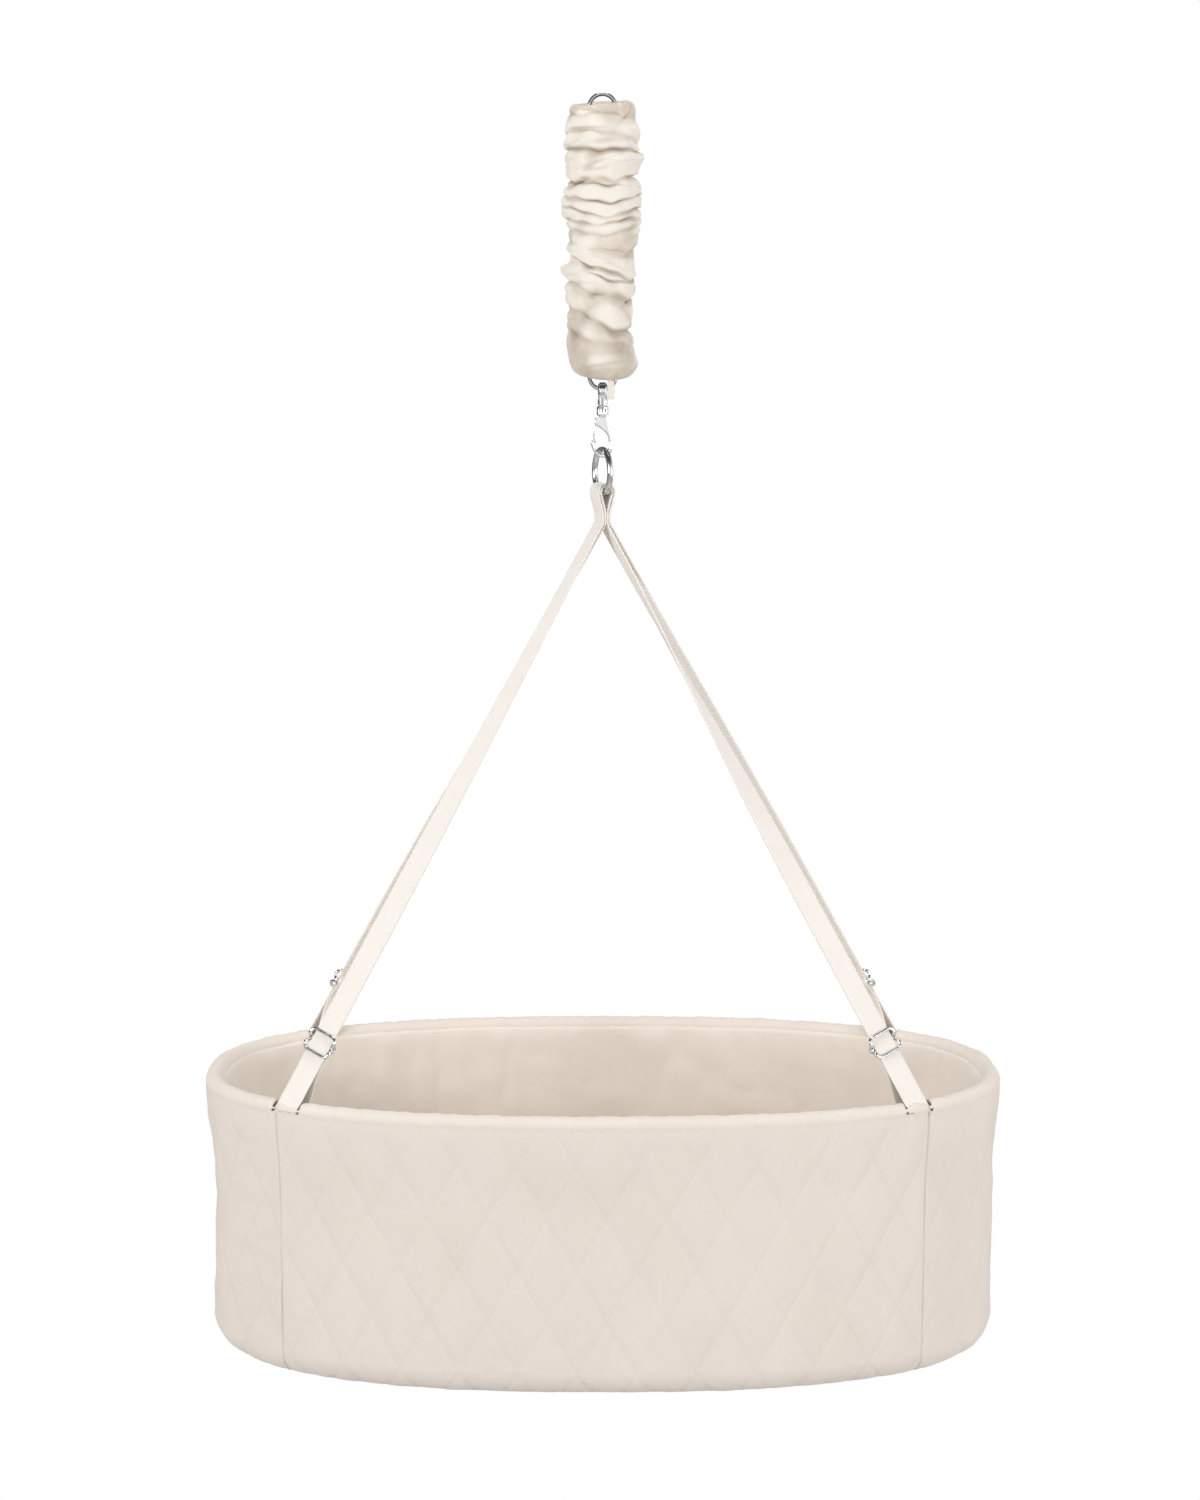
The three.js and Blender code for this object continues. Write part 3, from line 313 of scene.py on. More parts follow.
def webbing(name, light, dark):
    """Ribs run across the strap, and two plain selvages along its edges."""
    mat, tree, shader = new_material(name)
    u, v = cloth_plane(tree)
    side = number(tree, "ABSOLUTE", u)
    zigzag = number(tree, "MULTIPLY", number(tree, "PINGPONG", u, 1.6), 0.9)
    chevron = number(tree, "ADD", v, zigzag)
    rib = thread(tree, chevron, 1.8)
    selvage = number(tree, "GREATER_THAN", side, WEB_W / 2 - 1.1)
    fuzz = noise(tree, 800.0, 2.0)
    cloud = noise(tree, 30.0, 3.0)
    shade = number(tree, "MULTIPLY", rib, 0.05)
    factor = number(tree, "ADD", number(tree, "MULTIPLY", cloud, 0.7), shade, True)
    tree.links.new(colour_mix(tree, factor, light, dark), shader.inputs["Base Color"])
    ribs, hairs = number(tree, "MULTIPLY", rib, 0.7), number(tree, "MULTIPLY", fuzz, 0.3)
    height = number(tree, "ADD", ribs, hairs)
    groove = number(tree, "SUBTRACT", height, number(tree, "MULTIPLY", selvage, 0.8))
    shader.inputs["Roughness"].default_value = 0.9
    shader.inputs["Specular IOR Level"].default_value = 0.1
    shader.inputs["Sheen Weight"].default_value = 0.1
    tree.links.new(bump(tree, groove, 0.0002, 0.06), shader.inputs["Normal"])
    return mat


def metal(name, light, dark, rough):
    """Polished metal with a faint smear, fine scratches and softened edges."""
    mat, tree, shader = new_material(name)
    shader.inputs["Metallic"].default_value = 1.0
    smear = noise(tree, 120.0, 3.0)
    fine = noise(tree, 1500.0, 2.0)
    tree.links.new(colour_mix(tree, smear, light, dark), shader.inputs["Base Color"])
    spread = number(tree, "MULTIPLY", smear, 0.18)
    tree.links.new(number(tree, "ADD", spread, rough), shader.inputs["Roughness"])
    round_edge = tree.nodes.new("ShaderNodeBevel")
    round_edge.samples = 4
    round_edge.inputs["Radius"].default_value = 0.0008
    finish = bump(tree, fine, 0.0002, 0.1, round_edge.outputs["Normal"])
    tree.links.new(finish, shader.inputs["Normal"])
    return mat


def wood(name, light, dark):
    """Grain drawn out along the frame's x."""
    mat, tree, shader = new_material(name)
    coord = tree.nodes.new("ShaderNodeTexCoord")
    stretch = tree.nodes.new("ShaderNodeMapping")
    stretch.inputs["Scale"].default_value = (4.0, 60.0, 60.0)
    tree.links.new(coord.outputs["Object"], stretch.inputs["Vector"])
    grain = noise(tree, 3.0, 8.0, stretch.outputs[0])
    pores = noise(tree, 14.0, 4.0, stretch.outputs[0])
    tree.links.new(colour_mix(tree, grain, light, dark), shader.inputs["Base Color"])
    shader.inputs["Roughness"].default_value = 0.6
    tree.links.new(bump(tree, pores, 0.0004, 0.3), shader.inputs["Normal"])
    return mat


quilt_cloth = quilted("quilted_cotton", (0.825, 0.75, 0.688), (0.755, 0.675, 0.606))
lining_cloth = fabric("lining_cotton", (0.86, 0.795, 0.73), (0.785, 0.705, 0.632), weave=0.2)
cover_cloth = fabric("mattress_cover", (0.84, 0.78, 0.70), (0.78, 0.71, 0.62))
# The sleeve's sateen with painted shade in its creases and a painted highlight along its folds; the
# last two colours are the painted shade and the painted highlight.
sateen_cloth = painted_fold_light(
    fabric("sateen", (0.79, 0.712, 0.62), (0.54, 0.46, 0.375), period=0.6, weave=0.15, rough=0.5,
           sheen=0.3, mottling=0.45, patches=26.0, contrast=2.6),
    (0.36, 0.285, 0.215), (0.94, 0.885, 0.81))
strap_cloth = webbing("cotton_webbing", (0.89, 0.85, 0.805), (0.825, 0.775, 0.72))
chrome = metal("chrome_plate", (0.90, 0.905, 0.91), (0.80, 0.805, 0.81), 0.08)
ring_steel = metal("ring_steel", (0.80, 0.80, 0.805), (0.66, 0.66, 0.67), 0.08)
spring_steel = metal("spring_steel", (0.72, 0.72, 0.73), (0.56, 0.56, 0.57), 0.10)
hoop_wood = wood("hoop_wood", (0.55, 0.38, 0.21), (0.36, 0.22, 0.11))
board_wood = wood("board_wood", (0.62, 0.46, 0.28), (0.44, 0.30, 0.16))


# Mesh code

def make_object(name, points, faces, uv=None, material=None, smooth=True):
    """points in millimetres; uv is one pair in millimetres for each point."""
    mesh = bpy.data.meshes.new(name)
    mesh.from_pydata((np.asarray(points, float) * MM).tolist(), [], faces)
    mesh.validate()
    if uv is not None:
        layer = mesh.uv_layers.new(name="cloth")
        index = np.zeros(len(mesh.loops), np.int32)
        mesh.loops.foreach_get("vertex_index", index)
        layer.data.foreach_set("uv", np.asarray(uv, np.float32)[index].ravel())
    if smooth:
        mesh.shade_smooth()
    obj = bpy.data.objects.new(name, mesh)
    scene.collection.objects.link(obj)
    if material is not None:
        mesh.materials.append(material)
    return obj


def grid_faces(nu, nv, loop_u=False, loop_v=False, skip=None):
    faces = []
    for i in range(nu if loop_u else nu - 1):
        for j in range(nv if loop_v else nv - 1):
            if skip is not None and skip[i, j]:
                continue
            k, m = (i + 1) % nu, (j + 1) % nv
            faces.append((i * nv + j, k * nv + j, k * nv + m, i * nv + m))
    return faces


def end_face(nu, nv, row):
    """One face round a looped grid's row."""
    return tuple(i * nv + row for i in range(nu))


def run_along(path):
    """How far each place lies along a path."""
    return np.concatenate([[0], np.cumsum(np.linalg.norm(np.diff(path, axis=0), axis=1))])


def apply_modifiers(obj):
    graph = bpy.context.evaluated_depsgraph_get()
    bpy.context.view_layer.update()
    mesh = bpy.data.meshes.new_from_object(obj.evaluated_get(graph))
    obj.modifiers.clear()
    obj.data = mesh


def outward(obj):
    """Turns a closed mesh's faces outward."""
    shape = bmesh.new()
    shape.from_mesh(obj.data)
    bmesh.ops.recalc_face_normals(shape, faces=shape.faces)
    shape.to_mesh(obj.data)
    shape.free()
    return obj


def drop_loose_points(mesh):
    """Removes the points that no face uses."""
    shape = bmesh.new()
    shape.from_mesh(mesh)
    bmesh.ops.delete(shape, geom=[x for x in shape.verts if not x.link_faces], context="VERTS")
    shape.to_mesh(mesh)
    shape.free()


def thicken(obj, thickness):
    """Gives a surface its thickness, in millimetres, behind its faces."""
    solid = obj.modifiers.new("thick", "SOLIDIFY")
    solid.thickness = thickness * MM
    solid.offset = -1.0
    solid.use_even_offset = False
    apply_modifiers(obj)


def smooth_step(x):
    x = np.clip(x, 0, 1)
    return x * x * (3 - 2 * x)


def ripple(seed, u, v, waves, count=9):
    """A calm surface noise: sines of random directions about the given lengths."""
    rng = np.random.default_rng(seed)
    total = np.zeros(np.broadcast(u, v).shape)
    for _ in range(count):
        length = rng.uniform(*waves)
        turn = rng.uniform(0, math.pi)
        total += np.sin(
            2 * math.pi * (u * math.cos(turn) + v * math.sin(turn)) / length
            + rng.uniform(0, 2 * math.pi)
        )
    return total / math.sqrt(count)


# The oval of the basket

TURNS = np.linspace(0, 2 * math.pi, 20001)


def oval(turn):
    c, s = np.cos(turn), np.sin(turn)
    x = HOOP_A * np.sign(c) * np.abs(c) ** (2 / POWER)
    y = HOOP_B * np.sign(s) * np.abs(s) ** (2 / POWER)
    return np.stack([x, y], -1)


def oval_out(p):
    gx = np.sign(p[..., 0]) * (np.abs(p[..., 0]) / HOOP_A) ** (POWER - 1) / HOOP_A
    gy = np.sign(p[..., 1]) * (np.abs(p[..., 1]) / HOOP_B) ** (POWER - 1) / HOOP_B
    n = np.stack([gx, gy], -1)
    return n / np.linalg.norm(n, axis=-1, keepdims=True)


RIM = oval(TURNS)
RUN = run_along(RIM)
AROUND = RUN[-1]


def turn_at(run):
    return np.interp(np.mod(run, AROUND), RUN, TURNS)


def run_at_x(x):
    turn = math.acos((x / HOOP_A) ** (POWER / 2))
    return float(np.interp(turn, TURNS, RUN))


SEAM_RUN, STRAP_RUN = run_at_x(SEAM_X), run_at_x(STRAP_X)
HALF = AROUND / 2


def face_out(z):
    return ROLL_R - 4.6 * smooth_step((HOOP_Z - z) / (WALL_H * 0.35))


def round_rim(turn, out, z, spread=1.0):
    """Points at turns round the oval, a distance outward, a height, and drawn in by a share."""
    p = oval(turn)
    n = oval_out(p)
    x = (p[..., 0] + n[..., 0] * out) * spread
    y = (p[..., 1] + n[..., 1] * out) * spread
    return np.stack([x, y, np.broadcast_to(z, x.shape)], -1)


def section(v):
    """The outside's section: a place outward and up, and which way it faces, at a length v
    from the bottom seam."""
    z_wall = SEAM_Z + np.clip(v, 0, WALL_H)
    turn = np.maximum(v - WALL_H, 0) / ROLL_R
    foot = np.minimum(v, 0) / FOOT_R
    out = face_out(z_wall) - ROLL_R * (1 - np.cos(turn)) - FOOT_R * (1 - np.cos(foot))
    z = z_wall + ROLL_R * np.sin(turn) + FOOT_R * np.sin(foot)
    slope = face_out(z_wall + 0.5) - face_out(z_wall - 0.5)
    straight = (turn == 0) & (foot == 0)
    face_o = np.where(straight, 1.0, np.cos(turn + foot))
    face_z = np.where(straight, -slope, np.sin(turn + foot))
    size = np.hypot(face_o, face_z)
    return out, z, face_o / size, face_z / size


LIP_V = WALL_H + ROLL_R * math.radians(178)
FOOT_V = -FOOT_R * FOOT_TURN


# Straps' feet: where each one passes over the rim

def unit(v):
    return v / np.linalg.norm(v)


CROWN_SIDE = np.array([math.cos(CROWN_TURN), math.sin(CROWN_TURN), 0.0])
CROWN_ACROSS = np.array([-math.sin(CROWN_TURN), math.cos(CROWN_TURN), 0.0])
LEGS = [
    ("front_left", -1, -1, 1), ("front_right", 1, -1, 0),
    ("back_left", -1, 1, 0), ("back_right", 1, 1, 1),
]


def leg_frame(sx, sy, layer):
    """A leg's foot on the hoop and its own directions: up it, out of its face and across."""
    place = oval(turn_at(STRAP_RUN))
    foot = np.array([sx * place[0], sy * place[1], HOOP_Z])
    out = np.append(oval_out(foot[:2]), 0.0)
    foot = foot - 0.4 * out
    tangent = np.array([-out[1], out[0], 0.0])
    start = CROWN_SIDE * sx * (GAP / 2 + WEB_T / 2 + layer * (WEB_T + GAP))
    start[2] = CROWN_END + 1.2 * layer - GAP
    bend = start - np.array([0, 0, 3.0])
    face = out
    for _ in range(4):
        rise = unit(bend - (foot + face * WRAP_R))
        face = unit(np.cross(tangent, rise))
        face = face if face @ out > 0 else -face
    square = np.cross(face, tangent)
    square = square if square[2] > 0 else -square
    length = float(np.linalg.norm(bend - (foot + face * WRAP_R)))
    goal = tangent if tangent @ CROWN_ACROSS > 0 else -tangent
    return dict(foot=foot, goal=goal, start=start, rise=rise, face=face, square=square,
                length=length)


FRAMES = {name: leg_frame(sx, sy, layer) for name, sx, sy, layer in LEGS}


# Quilted outside: four walls from the bottom seam up over the rim

THREAD_DIP, PUFF = 1.05, 0.62
BAND_V = WALL_H - 8.0


def quilt_height(run, v, seed):
    """How far the quilted face stands out: puffed diamonds between stitched lines, and
    little puckers across the thread."""
    a = run / QUILT_W + v / QUILT_H
    b = run / QUILT_W - v / QUILT_H
    da = np.abs(a - np.round(a))
    db = np.abs(b - np.round(b))
    near = np.minimum(da, db) * QUILT_NEAR
    pillow = np.power(np.clip(4 * da * db, 0, 1), 0.42)
    groove = np.exp(-((near / 1.7) ** 2))
    along = np.where(da < db, b, a)
    pucker = np.exp(-((near / 6.5) ** 2)) * np.sin(
        2 * math.pi * along * 8.6 + 1.9 * np.sin(along * 23.0 + seed)
    )
    soft = ripple(seed, run, v, (24, 95)) * 0.5 + ripple(seed + 31, run, v, (11, 34), 14) * 0.13
    return pillow, groove, pucker, soft


def strap_gap(run, side_run):
    return np.abs((run - side_run + HALF) % AROUND - HALF)


FEET_RUN = {
    "back_right": STRAP_RUN, "back_left": HALF - STRAP_RUN,
    "front_left": HALF + STRAP_RUN, "front_right": AROUND - STRAP_RUN,
}


def wall(name, start, end, seed):
    """One quilted wall between two places round the rim, from its foot up over the roll."""
    step = 2.5
    nu = int((end - start) / step)
    runs = np.linspace(start + 0.03, end - 0.03, nu)
    v = np.concatenate([np.arange(FOOT_V, WALL_H - 1, step), np.linspace(WALL_H, LIP_V, 21)])
    u, w = np.meshgrid(runs, v, indexing="ij")
    out, z, fo, fz = section(w)
    pillow, groove, pucker, soft = quilt_height(u, w, seed)
    low = smooth_step((w - FOOT_V) / 9.0)
    high = 1 - smooth_step((w - BAND_V + 12) / 16.0)
    inside = low * high
    side = np.minimum(u - start, end - u)
    edge = smooth_step(side / 7.0)
    quilting = PUFF * (pillow - 0.45) * 1.7 - THREAD_DIP * groove * 0.55 + 0.24 * pucker
    lift = inside * edge * quilting
    lift += soft * np.clip(low, 0.25, 1) * edge * (0.35 + 0.65 * high)
    # A sewn seam runs just under the roll, and another where the panel meets its neighbour.
    below_seam = w - (WALL_H - 3.0)
    seam = np.exp(-(below_seam / 1.7) ** 2)
    gathers = np.sin(u * 2 * math.pi / 11.5 + 2.0 * np.sin(u / 31.0))
    lift -= 0.75 * seam - 0.3 * np.exp(-(below_seam / 7.0) ** 2) * gathers
    roll = smooth_step((w - WALL_H + 2) / 6.0) * (1 - 0.8 * smooth_step((w - LIP_V + 12) / 10.0))
    lift += roll * 0.28 * np.sin(u * 2 * math.pi / 14.0 + 1.4 * np.sin(u / 23.0 + w / 9.0))
    lift += roll * 0.3 * ripple(seed + 7, u, w, (18, 60))
    lift -= 0.55 * np.exp(-(side / 2.0) ** 2)
    lift -= 1.3 * np.exp(-((w - FOOT_V) / 3.0) ** 2)
    # The cloth sags in under the rim, a little more at the left end.
    lean = 0.5 - 0.5 * np.cos(2 * math.pi * (u / AROUND))
    belly = np.exp(-(((w - 125.0) / 62.0) ** 2))
    lift -= edge * belly * (0.3 + 3.4 * lean * np.abs(oval_out(oval(turn_at(u)))[..., 0]))
    # The strap holds the roll in where it passes over.
    foot_near = np.min([strap_gap(u, r) for r in FEET_RUN.values()], axis=0)
    lift += roll * 0.7 * np.exp(-(foot_near / 17.0) ** 2)
    lift = np.clip(lift, -5.6, 3.0)
    points = round_rim(turn_at(u), out + lift * fo, z + lift * fz)
    # Faces that the straps pass through are left out, a slit for each strap.
    mid = 0.25 * (points[:-1, :-1] + points[1:, :-1] + points[:-1, 1:] + points[1:, 1:])
    skip = np.zeros(mid.shape[:2], bool)
    slit_w, slit_t, slit_low = 15.2, 9.6, -4.0
    for leg in FRAMES.values():
        rel = mid - leg["foot"]
        t, f, r = rel @ leg["goal"], rel @ leg["face"], rel @ leg["square"]
        skip |= (np.abs(t) < slit_w) & (np.abs(f) < slit_t) & (r > slit_low)
    faces = grid_faces(nu, len(v), skip=skip)
    uv = np.stack([u, w], -1).reshape(-1, 2)
    obj = make_object(name + "_quilt", points.reshape(-1, 3), faces, uv, quilt_cloth)
    drop_loose_points(obj.data)
    thicken(obj, QUILT_T)
    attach(obj, "cradle")
    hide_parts(name + "_panel", name + "_pad")


WALLS = [
    ("right_end", -SEAM_RUN, SEAM_RUN, 3),
    ("back", SEAM_RUN, HALF - SEAM_RUN, 11),
    ("left_end", HALF - SEAM_RUN, HALF + SEAM_RUN, 23),
    ("front", HALF + SEAM_RUN, AROUND - SEAM_RUN, 5),
]
for wall_name, wall_start, wall_end, wall_seed in WALLS:
    wall(wall_name, wall_start, wall_end, wall_seed)


# Bottom: flat, its edge turned up a little to meet the walls' lower seam

def bottom():
    near_seam = [FOOT_TURN + 0.012, FOOT_TURN + 0.05]
    foot = np.concatenate([near_seam, np.linspace(FOOT_TURN + 0.1, math.pi / 2, 5)])
    shares = np.array([0.975, 0.93, 0.87, 0.78, 0.66, 0.52, 0.36, 0.2])
    rim_out = face_out(SEAM_Z) - FOOT_R
    out = np.concatenate([rim_out + FOOT_R * np.cos(foot), np.full(len(shares), rim_out)])
    z = np.concatenate([SEAM_Z - FOOT_R * np.sin(foot), np.full(len(shares), SEAM_Z - FOOT_R)])
    spread = np.concatenate([np.ones(len(foot)), shares])
    runs = np.linspace(0, AROUND, 560, endpoint=False)
    points = round_rim(turn_at(runs)[:, None], out, 0.0, spread)
    wave = 0.5 * ripple(41, points[..., 0], points[..., 1], (40, 130))
    tuck = np.exp(-(np.arange(len(out)) / 2.0) ** 2)
    gathers = 0.25 * np.sin(runs * 2 * math.pi / 9.0)[:, None]
    points[..., 2] = z + 0.4 + np.clip(wave, -0.3, 1.2) * (1 - tuck) + tuck * gathers
    points = points.reshape(-1, 3)
    faces = grid_faces(len(runs), len(out), loop_u=True)
    faces.append(end_face(len(runs), len(out), len(out) - 1))
    obj = make_object("bottom_cover", points, [f[::-1] for f in faces], points[:, :2], quilt_cloth)
    thicken(obj, BOTTOM_COVER_T)
    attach(obj, "cradle")
    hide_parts("bottom_panel")


bottom()


# Lining and mattress

WELL_FLOOR_Z = BASE_Z + BOTTOM_T + GAP + BOARD_T + GAP


def lining():
    """The well's cloth: down the walls from the rim, round a corner and over the board."""
    r = 10.0
    low = WELL_FLOOR_Z
    arc = r * math.pi / 2
    side = HOOP_Z - (low + r)
    v = np.concatenate([
        [0.0, 1.2, 2.4], np.arange(4, side, 4.0), side + np.linspace(0, arc, 7),
        side + arc + np.array([8.0, 20, 40, 70, 110]),
    ])
    runs = np.linspace(0, AROUND, 460, endpoint=False)
    u, w = np.meshgrid(runs, v, indexing="ij")
    turn = np.clip((w - side) / r, 0, math.pi / 2)
    inward = np.maximum(w - side - arc, 0)
    out = -10.0 - r + r * np.cos(turn)
    z = np.where(w <= side, HOOP_Z + 1.2 - w * (side + 1.2) / side, low + r - r * np.sin(turn))
    fade = smooth_step(w / 12.0) * (1 - smooth_step((w - side) / 12.0))
    # The cloth hangs from the rim: soft upright folds that lean, and a few cross wrinkles.
    folds = ripple(61, u * 1.0, w * 0.28, (26, 90), 11)
    cross = ripple(77, u * 0.35, w, (30, 80), 7)
    lift = fade * (1.2 * np.maximum(folds, -1.2) + 0.8 * cross)
    pull = np.exp(-(w / 16.0) ** 2) * np.sin(u * 2 * math.pi / 13.0 + 2.2 * np.sin(u / 41.0))
    lift += 0.35 * pull * smooth_step(w / 3.0)
    reach = out - np.abs(lift) - 0.4 * fade + 1.9 * np.exp(-((w / 1.6) ** 2))
    points = round_rim(turn_at(u), reach, z, 1 - inward / 150.0).reshape(-1, 3)
    faces = grid_faces(len(runs), len(v), loop_u=True)
    faces.append(end_face(len(runs), len(v), len(v) - 1))
    uv = np.stack([u.ravel(), w.ravel()], -1)
    flat = w.ravel() > side + arc
    uv[flat, 0] = points[flat, 0]
    uv[flat, 1] = points[flat, 1]
    obj = make_object("lining_cloth", points, [f[::-1] for f in faces], uv, lining_cloth)
    thicken(obj, LINING_T)
    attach(obj, "cradle")
    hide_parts("lining")


lining()


def mattress():
    """A pad with round edges, piping round the upper one and a gently crowned top."""
    # The lining's cloth lies under the pad, and its wrinkles need room.
    low = WELL_FLOOR_Z + 1.4 + GAP + 1.7
    out0, r, high = -17.6, 9.0, 28.0
    crown = 5.0
    runs = np.linspace(0, AROUND, 420, endpoint=False)
    inner = np.array([0.92, 0.84, 0.75, 0.66, 0.56, 0.46, 0.36, 0.26, 0.16, 0.07])
    rows = []
    for turn in np.linspace(-math.pi / 2, 0, 7):
        rows.append((out0 - r + r * math.cos(turn), low + r + r * math.sin(turn), 1.0))
    for turn in np.linspace(0, math.pi / 2, 19):
        off = turn - 0.8
        piping = 1.3 * math.exp(-(off / 0.12) ** 2) - 0.7 * math.exp(-(off / 0.3) ** 2)
        across, up = (r + piping) * math.cos(turn), (r + piping) * math.sin(turn)
        rows.append((out0 - r + across, low + high - r + up, 1.0))
    for share in inner:
        rows.append((out0 - r, low + high + crown * (1 - share ** 2), share))
    out, z, share = np.array(rows).T
    points = round_rim(turn_at(runs)[:, None], out, z, share).reshape(-1, 3)
    uv = points[:, :2].copy()
    wave = ripple(91, points[:, 0], points[:, 1], (38, 130), 12)
    top = points[:, 2] > low + high - 3
    points[top, 2] += 1.0 * wave[top] - 0.2
    faces = grid_faces(len(runs), len(rows), loop_u=True)
    faces.append(end_face(len(runs), len(rows), len(rows) - 1))
    faces.append(end_face(len(runs), len(rows), 0)[::-1])
    obj = outward(make_object("mattress_pad", points, faces, uv, cover_cloth))
    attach(obj, "cradle")
    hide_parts("mattress")


mattress()


# Sleeve: a ruched sateen tube round the spring. Its folds are lines round it, each with its
# place down the length at the right, back, left and front, then how deep and how wide it is.

FOLDS = [
    (0.055, 0.05, 0.04, 0.035, 0.05, 0.010), (0.150, 0.12, 0.108, 0.094, 0.10, 0.012),
    (0.176, 0.17, 0.165, 0.160, 0.17, 0.011), (0.225, 0.215, 0.22, 0.235, 0.06, 0.009),
    (0.265, 0.27, 0.275, 0.268, 0.20, 0.011), (0.307, 0.30, 0.296, 0.283, 0.13, 0.008),
    (0.333, 0.34, 0.328, 0.349, 0.15, 0.008), (0.375, 0.38, 0.364, 0.398, 0.15, 0.008),
    (0.406, 0.41, 0.417, 0.427, 0.13, 0.009), (0.44, 0.455, 0.452, 0.47, 0.08, 0.011),
    (0.53, 0.51, 0.50, 0.525, 0.08, 0.013), (0.631, 0.58, 0.548, 0.595, 0.21, 0.010),
    (0.652, 0.60, 0.584, 0.62, 0.12, 0.008), (0.70, 0.68, 0.647, 0.69, 0.08, 0.013),
    (0.82, 0.79, 0.735, 0.80, 0.12, 0.014), (0.88, 0.86, 0.83, 0.87, 0.06, 0.017),
]
# Places down the sleeve's length, and how far its left and right edges stand out there.
EDGES = [
    (0, 30, 28), (0.03, 31, 29.4), (0.11, 33, 32), (0.14, 33.5, 30), (0.2, 30.5, 34),
    (0.26, 29.4, 27.5), (0.31, 31.3, 32.2), (0.37, 34.5, 31.5), (0.46, 30.3, 32.2),
    (0.54, 30, 28.4), (0.57, 26, 27.5), (0.6, 36.0, 26.5), (0.63, 33.2, 29.4), (0.69, 31.3, 27),
    (0.77, 31.3, 26), (0.83, 33.6, 26.5), (0.89, 34.2, 29.4), (0.945, 33.2, 33.4),
]


def round_it(places, t):
    """A curve round the sleeve through its four places."""
    right, back, left, front = places
    mean = (right + back + left + front) / 4
    return (mean + (right - left) / 2 * np.cos(t) + (back - front) / 2 * np.sin(t)
            + (right - back + left - front) / 4 * np.cos(2 * t))


def fold(x):
    """A fold's section: cloth hangs over from above, a sharp crease, then cloth swells again."""
    over = 0.45 * np.exp(-(((x + 1.35) / 0.95) ** 2)) + 0.5 * np.exp(-(((x + 3.4) / 2.6) ** 2))
    crease = -1.15 * np.exp(-np.abs(x / 0.8) ** 1.7)
    below = 0.5 * np.exp(-(((x - 3.2) / 2.4) ** 2))
    return over + crease + below


